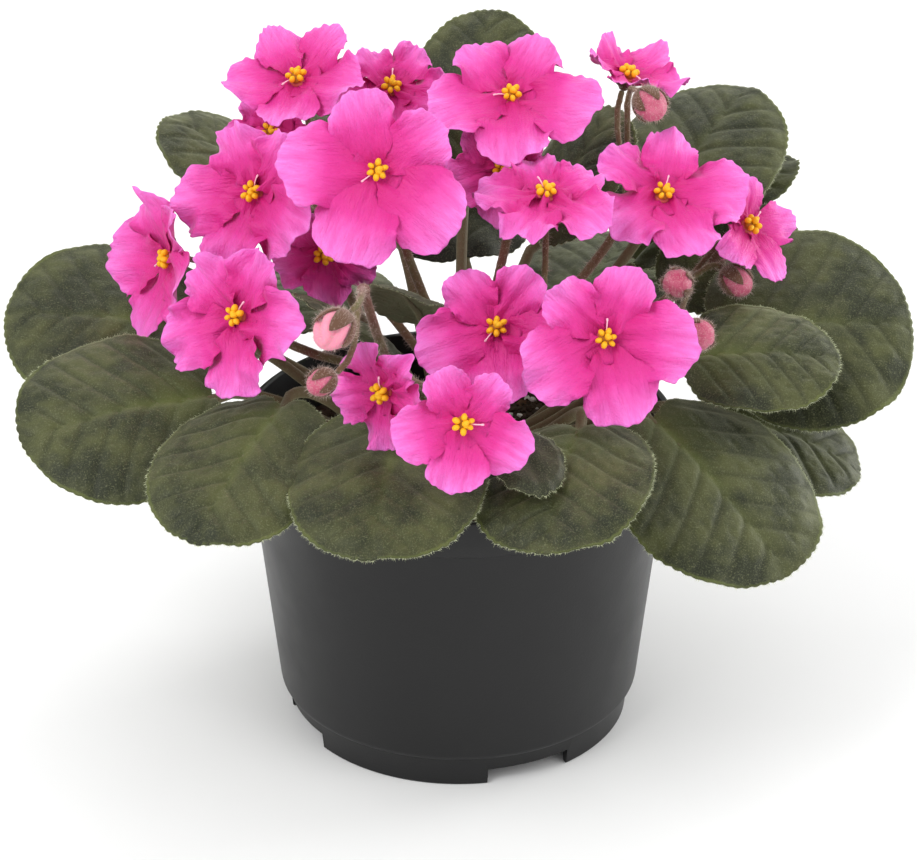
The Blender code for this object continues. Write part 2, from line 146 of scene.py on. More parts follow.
def spherical(azimuth: float, elevation: float) -> np.ndarray:
    """Give the unit vector at an azimuth from +X and an elevation, in degrees."""
    az, el = math.radians(azimuth), math.radians(elevation)
    return np.array((math.cos(az) * math.cos(el), math.sin(az) * math.cos(el), math.sin(el)))


def unit(vector: np.ndarray) -> np.ndarray:
    """Scale a vector to length one."""
    return vector / max(np.linalg.norm(vector), 1e-12)


def turned(vector: np.ndarray, axis: np.ndarray, angle: float) -> np.ndarray:
    """Turn a vector about a unit axis.

    Args:
        vector: The vector to turn.
        axis: The unit axis.
        angle: The angle in degrees.

    Returns:
        The turned vector.
    """
    a = math.radians(angle)
    along = axis * np.dot(axis, vector) * (1.0 - math.cos(a))
    return vector * math.cos(a) + np.cross(axis, vector) * math.sin(a) + along


def upright_axes(normal: np.ndarray, spin: float) -> np.ndarray:
    """Give three axes whose third is a normal and whose second points up before the spin.

    Args:
        normal: The unit normal.
        spin: The turn about the normal, in degrees.

    Returns:
        A 3 by 3 array whose rows are the side, top and normal axes.
    """
    side = np.cross((0.0, 0.0, 1.0), normal)
    side = unit(side) if np.linalg.norm(side) > 1e-6 else np.array((1.0, 0.0, 0.0))
    top = np.cross(normal, side)
    return np.array((turned(side, normal, spin), turned(top, normal, spin), normal))


def bezier(start: np.ndarray, start_way: np.ndarray, end: np.ndarray, end_way: np.ndarray,
           count: int) -> np.ndarray:
    """Give points along a cubic curve between two points with given directions.

    Args:
        start: The first point.
        start_way: The unit direction there.
        end: The last point.
        end_way: The unit direction there.
        count: The number of points.

    Returns:
        The points, one to a row.
    """
    reach = np.linalg.norm(end - start) / 3.0
    t = np.linspace(0.0, 1.0, count)[:, None]
    s = 1.0 - t
    inner, outer = start + start_way * reach, end - end_way * reach
    return s**3 * start + 3 * s * s * t * inner + 3 * s * t * t * outer + t**3 * end


def smooth_step(low: float, high: float, value: np.ndarray) -> np.ndarray:
    """Rise smoothly from 0 at low to 1 at high."""
    t = np.clip((value - low) / (high - low), 0.0, 1.0)
    return t * t * (3.0 - 2.0 * t)


def waves(angle: np.ndarray, seed: int, counts: Iterable[int]) -> np.ndarray:
    """Add sine waves of random phase and height round an angle.

    Args:
        angle: The angles in radians.
        seed: The seed for the phases and heights.
        counts: How many times each wave repeats in a full turn.

    Returns:
        A value of about -1 to 1 for each angle.
    """
    draw = np.random.default_rng(seed)
    total = np.zeros_like(angle)
    share = 0.0
    for count in counts:
        height = draw.uniform(0.5, 1.0)
        total = total + height * np.sin(count * angle + draw.uniform(0.0, math.tau))
        share += height
    return total / max(share * 0.7, 1e-6)


# Mesh drafts.


@dataclass
class Draft:
    """A mesh in the making: its points with a tone and a map place each, and its faces."""

    points: list[np.ndarray] = field(default_factory=list)
    tones: list[np.ndarray] = field(default_factory=list)
    maps: list[np.ndarray] = field(default_factory=list)
    faces: list[tuple[int, ...]] = field(default_factory=list)
    slots: list[int] = field(default_factory=list)
    count: int = 0

    def add_points(self, points: np.ndarray, tones: np.ndarray | Sequence[float],
                   maps: np.ndarray | None = None) -> int:
        """Add points and say where they start.

        Args:
            points: The points, one to a row.
            tones: Four values for each point, or four for all of them.
            maps: Two map coordinates for each point.

        Returns:
            The index of the first of them.
        """
        first = self.count
        number = len(points)
        self.points.append(np.asarray(points, float))
        self.tones.append(np.broadcast_to(np.asarray(tones, float), (number, 4)))
        self.maps.append(np.zeros((number, 2)) if maps is None else maps)
        self.count += number
        return first

    def add_faces(self, faces: np.ndarray | Sequence[Sequence[int]], slot: int) -> None:
        """Add faces that wear one material slot.

        Args:
            faces: The point numbers of each face.
            slot: The material slot.
        """
        rows = faces.tolist() if isinstance(faces, np.ndarray) else list(faces)
        self.faces.extend(tuple(row) for row in rows)
        self.slots.extend([slot] * len(rows))

    def sheet(self, front: np.ndarray, back: np.ndarray, front_tones: np.ndarray,
              back_tones: np.ndarray, maps: np.ndarray, slot: int = 0) -> None:
        """Add a closed thin sheet from two grids of points that share a border.

        Args:
            front: Rows by columns by 3, the front surface.
            back: The same for the back surface.
            front_tones: Rows by columns by 4.
            back_tones: The same for the back.
            maps: Rows by columns by 2.
            slot: The material slot.
        """
        rows, cols = front.shape[:2]
        flat_maps = maps.reshape(-1, 2)
        a = self.add_points(front.reshape(-1, 3), front_tones.reshape(-1, 4), flat_maps)
        b = self.add_points(back.reshape(-1, 3), back_tones.reshape(-1, 4), flat_maps)
        index = np.arange(rows * cols).reshape(rows, cols)
        quads = np.stack((index[:-1, :-1], index[1:, :-1], index[1:, 1:], index[:-1, 1:]), -1)
        quads = quads.reshape(-1, 4)
        self.add_faces(quads + a, slot)
        self.add_faces(quads[:, ::-1] + b, slot)
        rim = np.concatenate((index[0, :-1], index[:-1, -1], index[-1, :0:-1], index[:0:-1, 0]))
        after = np.roll(rim, -1)
        self.add_faces(np.stack((rim + a, after + a, after + b, rim + b), -1), slot)

    def skin(self, rings: np.ndarray, tones: np.ndarray | Sequence[float], slot: int = 0) -> None:
        """Add a closed skin over rings of points, with its ends drawn in to their middles.

        Args:
            rings: Rings by points by 3.
            tones: Four values for all points, or rings by points by 4.
            slot: The material slot.
        """
        number, sides = rings.shape[:2]
        tone = np.broadcast_to(np.asarray(tones, float), (number, sides, 4)).reshape(-1, 4)
        turns = np.broadcast_to(np.linspace(0, 1, sides)[None, :], (number, sides))
        runs = np.broadcast_to(np.linspace(0, 1, number)[:, None], (number, sides))
        maps = np.stack((turns, runs), -1).reshape(-1, 2)
        a = self.add_points(rings.reshape(-1, 3), tone, maps)
        index = np.arange(number * sides).reshape(number, sides) + a
        after = np.roll(index, -1, axis=1)
        quads = np.stack((index[:-1], after[:-1], after[1:], index[1:]), -1).reshape(-1, 4)
        self.add_faces(quads, slot)
        ends = self.add_points(np.stack((rings[0].mean(0), rings[-1].mean(0))),
                               np.stack((tone[0], tone[-1])))
        low, high = np.full(sides, ends), np.full(sides, ends + 1)
        self.add_faces(np.stack((after[0], index[0], low), -1), slot)
        self.add_faces(np.stack((index[-1], after[-1], high), -1), slot)

    def tube(self, path: np.ndarray, radii: np.ndarray, sides: int,
             tones: np.ndarray | Sequence[float], slot: int = 0) -> None:
        """Add a closed round tube along a path.

        Args:
            path: The points of its middle.
            radii: A radius for each point.
            sides: The number of sides.
            tones: Four values for all points, or path points by 4.
            slot: The material slot.
        """
        ways = np.gradient(path, axis=0)
        side = np.cross(ways[0], (0.31, 0.17, 0.93))
        angles = np.linspace(0.0, math.tau, sides, endpoint=False)
        rings = []
        for point, way, radius in zip(path, ways, radii):
            way = unit(way)
            side = unit(side - way * np.dot(side, way))
            up = np.cross(way, side)
            ring = np.cos(angles)[:, None] * side + np.sin(angles)[:, None] * up
            rings.append(point + ring * radius)
        tone = np.asarray(tones, float)
        if tone.ndim == 2:
            tone = np.repeat(tone[:, None, :], sides, axis=1)
        self.skin(np.array(rings), tone, slot)

    def blob(self, middle: np.ndarray, axes: np.ndarray, size: Sequence[float],
             tones: Sequence[float], slot: int = 0, rows: int = 7, sides: int = 10) -> None:
        """Add an egg shape.

        Args:
            middle: Its middle.
            axes: Three unit axes, one to a row.
            size: Its half sizes along them.
            tones: Four values for all its points.
            slot: The material slot.
            rows: Rings from end to end.
            sides: Points in a ring.
        """
        lat = np.linspace(-math.pi / 2, math.pi / 2, rows + 2)[1:-1]
        angles = np.linspace(0.0, math.tau, sides, endpoint=False)
        flat = np.cos(lat)[:, None]
        local = np.stack((flat * np.cos(angles) * size[0], flat * np.sin(angles) * size[1],
                          np.repeat(np.sin(lat)[:, None], sides, 1) * size[2]), -1)
        self.skin(middle + local @ axes, tones, slot)

    def build(self, name: str, materials: Sequence[bpy.types.Material],
              shift: np.ndarray | None = None) -> bpy.types.Object:
        """Turn the draft into an object with smooth outward faces.

        Args:
            name: The object's name.
            materials: Its materials, in slot order.
            shift: A move for all points.

        Returns:
            The object, at the origin.
        """
        points = np.concatenate(self.points)
        if shift is not None:
            points = points + shift
        mesh = bpy.data.meshes.new(name)
        mesh.from_pydata(points.tolist(), [], self.faces)
        tone = mesh.attributes.new("tone", "FLOAT_COLOR", "POINT")
        tone.data.foreach_set("color", np.concatenate(self.tones).astype(np.float32).ravel())
        mesh.polygons.foreach_set("material_index", np.array(self.slots, np.int32))
        corners = np.empty(len(mesh.loops), np.int32)
        mesh.loops.foreach_get("vertex_index", corners)
        chart = mesh.uv_layers.new(name="Map")
        chart.data.foreach_set("uv", np.concatenate(self.maps)[corners].astype(np.float32).ravel())
        turn_outwards(mesh)
        mesh.shade_smooth()
        for material in materials:
            mesh.materials.append(material)
        return link_object(name, mesh)


def turn_outwards(mesh: bpy.types.Mesh) -> None:
    """Make the faces of a mesh's closed shells point outwards.

    Args:
        mesh: The mesh.
    """
    builder = bmesh.new()
    builder.from_mesh(mesh)
    bmesh.ops.recalc_face_normals(builder, faces=builder.faces)
    builder.to_mesh(mesh)
    builder.free()


def link_object(name: str, mesh: bpy.types.Mesh) -> bpy.types.Object:
    """Put a mesh into the scene.

    Args:
        name: The object's name.
        mesh: The mesh.

    Returns:
        The object, at the origin.
    """
    obj = bpy.data.objects.new(name, mesh)
    bpy.context.scene.collection.objects.link(obj)
    return obj


def seat_on(node: str, plan_points: np.ndarray) -> np.ndarray:
    """Say how far a plan is from the solid that it describes.

    Args:
        node: The solid's name.
        plan_points: The plan's outermost points.

    Returns:
        The move from the middle of the plan's box to the middle of the solid's box.
    """
    low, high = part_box(node)
    middle = (np.array(low) + np.array(high)) / 2.0
    return middle - (plan_points.min(0) + plan_points.max(0)) / 2.0


def hand_over(piece: bpy.types.Object, nodes: Sequence[str] = ()) -> None:
    """Fix a finished piece to the frame.

    Args:
        piece: The finished object.
        nodes: The solids that it stands for.
    """
    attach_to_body(piece, BODY)
    if nodes:
        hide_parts(*nodes)
    LOG.info("%s: %d faces on %s", piece.name, len(piece.data.polygons), BODY)


# Node trees.


@dataclass
class Bench:
    """Short calls that add nodes and links to one tree."""

    tree: Tree

    def feed(self, socket: Socket, value: object) -> None:
        """Link an input to another node's output, or give it a value.

        Args:
            socket: The input.
            value: An output, or a value; a colour needs no fourth number.
        """
        if isinstance(value, Socket):
            self.tree.links.new(value, socket)
        elif isinstance(value, tuple) and socket.type == "RGBA":
            socket.default_value = (*value[:3], 1.0)
        else:
            socket.default_value = value

    def add(self, kind: str, inputs: dict[str | int, object] | None = None,
            **settings: object) -> Node:
        """Add a node.

        Args:
            kind: Its type's name.
            inputs: A value or a socket for each input, by name or place.
            settings: Properties of the node itself.

        Returns:
            The node.
        """
        node = self.tree.nodes.new(kind)
        for key, value in settings.items():
            setattr(node, key, value)
        for key, value in (inputs or {}).items():
            self.feed(node.inputs[key], value)
        return node

    def join(self, output: Socket, socket: Socket) -> None:
        """Link an output to an input."""
        self.tree.links.new(output, socket)

    def maths(self, operation: str, first: object, second: object = 0.0,
              clamp: bool = False) -> Socket:
        """Add a Math node.

        Args:
            operation: What it does.
            first: Its first value.
            second: Its second value.
            clamp: Whether the result stays from 0 to 1.

        Returns:
            The result.
        """
        node = self.add("ShaderNodeMath", {0: first, 1: second}, operation=operation)
        node.use_clamp = clamp
        return node.outputs[0]

    def span(self, value: object, low: float, high: float, to_low: float = 0.0,
             to_high: float = 1.0) -> Socket:
        """Map a value from one span to another, clamped."""
        node = self.add("ShaderNodeMapRange", {0: value, 1: low, 2: high, 3: to_low, 4: to_high})
        return node.outputs[0]

    def mix(self, share: object, first: object, second: object) -> Socket:
        """Mix two colours.

        Args:
            share: Share of the second, from 0 to 1.
            first: The first colour.
            second: The second colour.

        Returns:
            The mixed colour.
        """
        node = self.add("ShaderNodeMix", data_type="RGBA")
        for place, value in ((0, share), (6, first), (7, second)):
            self.feed(node.inputs[place], value)
        return node.outputs[2]

    def noise(self, where: Socket, scale: float, detail: float = 2.0,
              rough: float = 0.5) -> Socket:
        """Add a noise.

        Args:
            where: The place that it is read at.
            scale: How many patches to a metre.
            detail: How many finer layers.
            rough: How strong they are.

        Returns:
            Its value.
        """
        node = self.add("ShaderNodeTexNoise", {"Vector": where, "Scale": scale, "Detail": detail,
                                               "Roughness": rough})
        return node.outputs[0]

    def bump(self, height: Socket, distance: object, strength: float) -> Socket:
        """Add a bump and give its normal."""
        return self.add("ShaderNodeBump", {"Height": height, "Distance": distance,
                                           "Strength": strength}).outputs[0]


def open_group(name: str, inputs: Sequence[tuple[str, str, object]],
               outputs: Sequence[tuple[str, str]]) -> tuple[Bench, Node, Node]:
    """Start a shader node group with named sockets.

    Args:
        name: The group's name.
        inputs: Name, socket type and default of each input.
        outputs: Name and socket type of each output.

    Returns:
        The bench for its tree, its input node and its output node.
    """
    tree = bpy.data.node_groups.new(name, "ShaderNodeTree")
    for label, kind, default in inputs:
        socket = tree.interface.new_socket(label, in_out="INPUT", socket_type=kind)
        socket.default_value = default
    for label, kind in outputs:
        tree.interface.new_socket(label, in_out="OUTPUT", socket_type=kind)
    bench = Bench(tree)
    return bench, bench.add("NodeGroupInput"), bench.add("NodeGroupOutput")


class ShaderKit:
    """The effects that several finishes share, each built once as a node group."""

    def __init__(self) -> None:
        """Build the groups."""
        self.mottle = self._mottle()
        self.fuzz = self._fuzz()
        self.streak = self._streak()
        self.grain = self._grain()

    @staticmethod
    def _mottle() -> Tree:
        """Build soft patches between two colours.

        Returns:
            The group.
        """
        bench, given, result = open_group(
            "mottle",
            (("Dark", COLOUR, (0, 0, 0, 1)), ("Light", COLOUR, (1, 1, 1, 1)),
             ("Scale", FLOAT, 100.0), ("Contrast", FLOAT, 1.0)),
            (("Color", COLOUR),))
        where = bench.add("ShaderNodeTexCoord").outputs["Object"]
        noise = bench.add("ShaderNodeTexNoise", {"Vector": where, "Scale": given.outputs["Scale"],
                                                 "Detail": 4.0, "Roughness": 0.6}).outputs[0]
        centred = bench.maths("SUBTRACT", noise, 0.5)
        spread = bench.maths("MULTIPLY", centred, given.outputs["Contrast"])
        share = bench.maths("ADD", bench.maths("MULTIPLY", spread, 3.0), 0.5, clamp=True)
        colour = bench.mix(share, given.outputs["Dark"], given.outputs["Light"])
        bench.join(colour, result.inputs["Color"])
        return bench.tree

    @staticmethod
    def _fuzz() -> Tree:
        """Build the pale speckle, hair colour and painted glints, and the soft bump of a hairy
        skin.

        Returns:
            The group.
        """
        bench, given, result = open_group(
            "fuzz",
            (("Color", COLOUR, (0.1, 0.1, 0.1, 1)),
             ("Hair", COLOUR, (0.4, 0.4, 0.3, 1)),
             ("Amount", FLOAT, 0.5)),
            (("Color", COLOUR), ("Normal", VECTOR)))
        where = bench.add("ShaderNodeTexCoord").outputs["Object"]
        fine = bench.noise(where, 2600.0, 2.0, 0.6)
        broad = bench.noise(where, 420.0, 2.0, 0.5)
        # Pale dots: the hairs' own colour, with painted glints on their tips.
        dots = bench.span(fine, 0.52, 0.72)
        patches = bench.span(broad, 0.3, 0.7, 0.35, 1.0)
        share = bench.maths("MULTIPLY", bench.maths("MULTIPLY", dots, patches),
                            given.outputs["Amount"], clamp=True)
        colour = bench.mix(share, given.outputs["Color"], given.outputs["Hair"])
        height = bench.maths("ADD", fine, bench.maths("MULTIPLY", broad, 2.0))
        normal = bench.bump(height, 0.00016, 0.6)
        bench.join(colour, result.inputs["Color"])
        bench.join(normal, result.inputs["Normal"])
        return bench.tree

    @staticmethod
    def _streak() -> Tree:
        """Build fine veins that run the length of a petal.

        Returns:
            The group.
        """
        bench, given, result = open_group(
            "streak",
            (("Along", FLOAT, 0.0), ("Across", FLOAT, 0.0),
             ("Seed", FLOAT, 0.0), ("Count", FLOAT, 9.0)),
            (("Vein", FLOAT), ("Height", FLOAT)))
        side = bench.maths("MULTIPLY", given.outputs["Across"], given.outputs["Count"])
        run = bench.maths("MULTIPLY", given.outputs["Along"], 2.2)
        seed = bench.maths("MULTIPLY", given.outputs["Seed"], 37.0)
        where = bench.add("ShaderNodeCombineXYZ", {0: side, 1: run, 2: seed}).outputs[0]
        broad = bench.noise(where, 1.0, 3.0, 0.65)
        fine = bench.noise(where, 3.1, 2.0, 0.6)
        vein = bench.span(broad, 0.36, 0.66)
        both = bench.maths("ADD", bench.maths("MULTIPLY", vein, 0.7),
                           bench.maths("MULTIPLY", fine, 0.3))
        bench.join(both, result.inputs["Vein"])
        bench.join(bench.maths("ADD", broad, fine), result.inputs["Height"])
        return bench.tree

    @staticmethod
    def _grain() -> Tree:
        """Build the fine tooth of a moulded or earthy surface.

        Returns:
            The group.
        """
        bench, given, result = open_group(
            "grain",
            (("Scale", FLOAT, 1000.0), ("Depth", FLOAT, 0.0001),
             ("Low", FLOAT, 0.3), ("High", FLOAT, 0.6)),
            (("Roughness", FLOAT), ("Normal", VECTOR)))
        where = bench.add("ShaderNodeTexCoord").outputs["Object"]
        fine = bench.add("ShaderNodeTexNoise", {"Vector": where, "Scale": given.outputs["Scale"],
                                                "Detail": 3.0}).outputs[0]
        slow = bench.noise(where, 45.0, 3.0, 0.6)
        node = bench.add("ShaderNodeMapRange", {0: slow, 1: 0.3, 2: 0.7,
                                                3: given.outputs["Low"], 4: given.outputs["High"]})
        normal = bench.bump(fine, given.outputs["Depth"], 0.5)
        bench.join(node.outputs[0], result.inputs["Roughness"])
        bench.join(normal, result.inputs["Normal"])
        return bench.tree


@dataclass(frozen=True)
class Finish:
    """The constants of one finish; its patterns are added by the classes below."""

    name: str
    colour: Colour
    roughness: float = 0.5
    specular: float = 0.5
    sheen: float = 0.0
    sheen_tint: Colour = (1.0, 1.0, 1.0)
    subsurface: float = 0.0
    glow: Colour = (1.0, 0.3, 0.4)
    depth: float = 1.0 * MM

    def start(self) -> tuple[bpy.types.Material, Bench, Node]:
        """Make the material with its constants.

        Returns:
            The material, a bench for its tree and its Principled shader.
        """
        material = bpy.data.materials.new(self.name)
        material.use_nodes = True
        shader = material.node_tree.nodes["Principled BSDF"]
        shader.inputs["Base Color"].default_value = (*self.colour, 1.0)
        shader.inputs["Roughness"].default_value = self.roughness
        shader.inputs["Specular IOR Level"].default_value = self.specular
        shader.inputs["Sheen Weight"].default_value = self.sheen
        shader.inputs["Sheen Roughness"].default_value = 0.5
        shader.inputs["Sheen Tint"].default_value = (*self.sheen_tint, 1.0)
        shader.inputs["Subsurface Weight"].default_value = self.subsurface
        shader.inputs["Subsurface Radius"].default_value = self.glow
        shader.inputs["Subsurface Scale"].default_value = self.depth
        material.diffuse_color = (*self.colour, 1.0)
        return material, Bench(material.node_tree), shader

    def plain(self) -> bpy.types.Material:
        """Make the material with one even colour."""
        return self.start()[0]


def place_group(bench: Bench, group: Tree,
                inputs: dict[str | int, object]) -> Node:
    """Place a group in a material with its own values."""
    return bench.add("ShaderNodeGroup", inputs, node_tree=group)


def read_tone(bench: Bench) -> tuple[Node, Socket]:
    """Read the four values that ride on each point.

    Args:
        bench: The material's bench.

    Returns:
        A node whose outputs are the first three, and the fourth.
    """
    tone = bench.add("ShaderNodeAttribute", attribute_name="tone")
    parts = bench.add("ShaderNodeSeparateColor", {0: tone.outputs["Color"]})
    return parts, tone.outputs["Alpha"]


@dataclass(frozen=True)
class LeafFinish(Finish):
    """Velvety quilted leaf: painted shade in grooves and near its base, greener midrib, paler
    beneath.
    """

    light: Colour = (0.062, 0.068, 0.019)
    rib: Colour = (0.14, 0.17, 0.035)
    under: Colour = (0.16, 0.17, 0.10)
    # Colour of the painted shade.
    shade: Colour = (0.010, 0.011, 0.006)
    petiole: Colour = (0.11, 0.075, 0.035)
    hair: Colour = (0.20, 0.21, 0.11)

    def make(self, kit: ShaderKit) -> bpy.types.Material:
        """Make the material.

        Tone holds the vein, the side, the green and the petiole. The side is 1 beneath, and half
        of the painted shade above.

        Args:
            kit: The shared effects.

        Returns:
            The material.
        """
        material, bench, shader = self.start()
        parts, petiole = read_tone(bench)
        vein, side, rib = parts.outputs
        beneath = bench.span(side, 0.6, 0.9)
        # Painted shade, carried on the top side's values below 0.6.
        painted_shade = bench.maths("MULTIPLY", side, bench.maths("LESS_THAN", side, 0.6))
        ground = place_group(bench, kit.mottle, {"Dark": self.colour, "Light": self.light,
                                                 "Scale": 75.0, "Contrast": 1.5}).outputs[0]
        # Painted shade in the quilting's sunken grooves along the veins.
        groove_shaded = bench.mix(bench.maths("MULTIPLY", vein, 0.38), ground,
                           tuple(0.45 * c for c in self.colour))
        ribbed = bench.mix(rib, groove_shaded, self.rib)
        # Darken towards the painted shade colour.
        dimmed = bench.mix(bench.maths("MULTIPLY", painted_shade, 2.0), ribbed, self.shade)
        sided = bench.mix(beneath, dimmed, self.under)
        whole = bench.mix(petiole, sided, self.petiole)
        fuzz = place_group(bench, kit.fuzz, {"Color": whole, "Hair": self.hair, "Amount": 0.55})
        bench.join(fuzz.outputs["Color"], shader.inputs["Base Color"])
        bench.join(fuzz.outputs["Normal"], shader.inputs["Normal"])
        return material


@dataclass(frozen=True)
class PetalFinish(Finish):
    """Satin petal: deep at the throat, pale at the rim, with fine veins."""

    deep: Colour = (0.55, 0.004, 0.15)
    middle: Colour = (0.77, 0.050, 0.37)
    rim: Colour = (0.92, 0.26, 0.76)
    back: Colour = (0.62, 0.10, 0.32)

    def make(self, kit: ShaderKit) -> bpy.types.Material:
        """Make the material.

        Tone holds the run from throat to rim, the side across, the petal's own number and whether
        it is the back.

        Args:
            kit: The shared effects.

        Returns:
            The material.
        """
        material, bench, shader = self.start()
        parts, back = read_tone(bench)
        along, across, seed = parts.outputs
        streak = place_group(bench, kit.streak, {"Along": along, "Across": across, "Seed": seed,
                                                 "Count": 11.0})
        vein = streak.outputs["Vein"]
        inner = bench.mix(bench.span(along, 0.10, 0.58), self.deep, self.middle)
        outer = bench.mix(bench.span(along, 0.48, 1.0), inner, self.rim)
        drawn = bench.mix(bench.maths("MULTIPLY", vein, 0.62), outer, self.middle)
        deeper = bench.mix(bench.maths("MULTIPLY", bench.span(along, 0.95, 0.0), vein), drawn,
                           self.deep)
        soft = bench.mix(0.85, drawn, deeper)
        sided = bench.mix(bench.maths("MULTIPLY", back, 0.45), soft, self.back)
        bench.join(sided, shader.inputs["Base Color"])
        where = bench.add("ShaderNodeTexCoord").outputs["Object"]
        cells = bench.noise(where, 2100.0, 2.0)
        height = bench.maths("ADD", streak.outputs["Height"], bench.maths("MULTIPLY", cells, 0.5))
        bench.join(bench.bump(height, 0.00045, 0.85), shader.inputs["Normal"])
        return material


@dataclass(frozen=True)
class StemFinish(Finish):
    """Hairy red-brown stem with greener patches."""

    light: Colour = (0.13, 0.115, 0.045)
    hair: Colour = (0.38, 0.25, 0.19)
    scale: float = 60.0

    def make(self, kit: ShaderKit) -> bpy.types.Material:
        """Make the material.

        Args:
            kit: The shared effects.

        Returns:
            The material.
        """
        material, bench, shader = self.start()
        ground = place_group(bench, kit.mottle, {"Dark": self.colour, "Light": self.light,
                                                 "Scale": self.scale, "Contrast": 1.2}).outputs[0]
        fuzz = place_group(bench, kit.fuzz, {"Color": ground, "Hair": self.hair, "Amount": 0.5})
        bench.join(fuzz.outputs["Color"], shader.inputs["Base Color"])
        bench.join(fuzz.outputs["Normal"], shader.inputs["Normal"])
        return material


@dataclass(frozen=True)
class GrainFinish(Finish):
    """A mottled surface with a fine tooth: moulded plastic, or damp peat."""

    light: Colour = (0.03, 0.03, 0.03)
    patch: float = 30.0
    tooth: float = 1800.0
    bite: float = 0.05 * MM
    low: float = 0.36
    high: float = 0.46

    def make(self, kit: ShaderKit) -> bpy.types.Material:
        """Make the material.

        Args:
            kit: The shared effects.

        Returns:
            The material.
        """
        material, bench, shader = self.start()
        ground = place_group(bench, kit.mottle, {"Dark": self.colour, "Light": self.light,
                                                 "Scale": self.patch, "Contrast": 1.0}).outputs[0]
        grain = place_group(bench, kit.grain, {"Scale": self.tooth, "Depth": self.bite,
                                               "Low": self.low, "High": self.high})
        bench.join(ground, shader.inputs["Base Color"])
        bench.join(grain.outputs["Roughness"], shader.inputs["Roughness"])
        bench.join(grain.outputs["Normal"], shader.inputs["Normal"])
        return material


class Wardrobe:
    """Every finished material of the plant."""

    def __init__(self) -> None:
        """Make the materials."""
        kit = ShaderKit()
        self.pot = GrainFinish("moulded black plastic", (0.005, 0.005, 0.0053), specular=0.32,
                               light=(0.008, 0.008, 0.0084), patch=22.0).make(kit)
        self.peat = GrainFinish("damp peat", (0.016, 0.010, 0.006), specular=0.3,
                                light=(0.065, 0.040, 0.024), patch=320.0, tooth=900.0,
                                bite=0.5 * MM, low=0.85, high=0.98).make(kit)
        self.crumb = Finish("peat crumb", (0.040, 0.025, 0.015), 0.95, 0.2).plain()
        self.bark = Finish("bark chip", (0.085, 0.045, 0.022), 0.9, 0.2).plain()
        self.perlite = Finish("perlite", (0.72, 0.70, 0.66), 0.9, 0.3).plain()
        self.leaf = LeafFinish("velvet leaf", (0.012, 0.016, 0.0035), 0.55, 0.30, 0.28,
                               (0.84, 0.88, 0.58)).make(kit)
        self.petal = PetalFinish("pink petal", (0.93, 0.10, 0.44), 0.46, 0.25, 0.10,
                                 (1.0, 0.75, 0.95), 0.12, (1.0, 0.22, 0.5), 0.8 * MM).make(kit)
        self.eye = Finish("petal eye", (0.55, 0.10, 0.09), 0.6, 0.3, subsurface=0.1).plain()
        self.anther = Finish("anther", (0.90, 0.46, 0.010), 0.55, 0.35, subsurface=0.15,
                             glow=(1.0, 0.6, 0.1), depth=0.6 * MM).plain()
        self.filament = Finish("filament", (0.40, 0.15, 0.012), 0.6, 0.3).plain()
        self.pistil = Finish("pistil", (0.93, 0.50, 0.62), 0.45, 0.35).plain()
        self.stem = StemFinish("hairy stem", (0.13, 0.032, 0.024), 0.6, 0.3, 0.3,
                               (0.95, 0.80, 0.75)).make(kit)
        self.calyx = Finish("calyx", (0.12, 0.055, 0.030), 0.6, 0.3, 0.3,
                            (0.95, 0.85, 0.75)).plain()
        self.bud = StemFinish("bud skin", (0.42, 0.045, 0.11), 0.55, 0.3, 0.25, (1.0, 0.8, 0.85),
                              light=(0.60, 0.15, 0.24), hair=(0.75, 0.45, 0.48),
                              scale=160.0).make(kit)
        self.bud_petal = Finish("bud petal", (0.88, 0.30, 0.42), 0.5, 0.3, 0.1, (1.0, 0.8, 0.9),
                                0.25, (1.0, 0.3, 0.5), 0.8 * MM).plain()
        self.hair = Finish("leaf hair", (0.16, 0.175, 0.085), 0.6, 0.3).plain()
        self.rim_hair = Finish("leaf rim hair", (0.62, 0.66, 0.42), 0.6, 0.3).plain()
        self.stem_hair = Finish("stem hair", (0.62, 0.50, 0.44), 0.6, 0.3).plain()


# Geometry Nodes.


def open_geometry(name: str, inputs: Sequence[tuple[str, str, object]]
                  ) -> tuple[Bench, Node, Node]:
    """Start a Geometry Nodes tree with a Geometry input, named sizes and a Material input.

    Args:
        name: The tree's name.
        inputs: Name, socket type and default of each size.

    Returns:
        The bench, the input node and the output node.
    """
    tree = bpy.data.node_groups.new(name, "GeometryNodeTree")
    tree.interface.new_socket("Geometry", in_out="INPUT", socket_type=GEOMETRY)
    for label, kind, default in inputs:
        socket = tree.interface.new_socket(label, in_out="INPUT", socket_type=kind)
        socket.default_value = default
    tree.interface.new_socket("Material", in_out="INPUT", socket_type="NodeSocketMaterial")
    tree.interface.new_socket("Geometry", in_out="OUTPUT", socket_type=GEOMETRY)
    bench = Bench(tree)
    return bench, bench.add("NodeGroupInput"), bench.add("NodeGroupOutput")


def close_geometry(bench: Bench, given: Node, result: Node,
                   geometry: Socket) -> Tree:
    """End a tree in Realize Instances and Set Material.

    Args:
        bench: The tree's bench.
        given: Its input node.
        result: Its output node.
        geometry: What it made.

    Returns:
        The tree.
    """
    real = bench.add("GeometryNodeRealizeInstances", {0: geometry})
    dressed = bench.add("GeometryNodeSetMaterial", {"Geometry": real.outputs[0],
                                                    "Material": given.outputs["Material"]})
    bench.join(dressed.outputs[0], result.inputs[0])
    return bench.tree


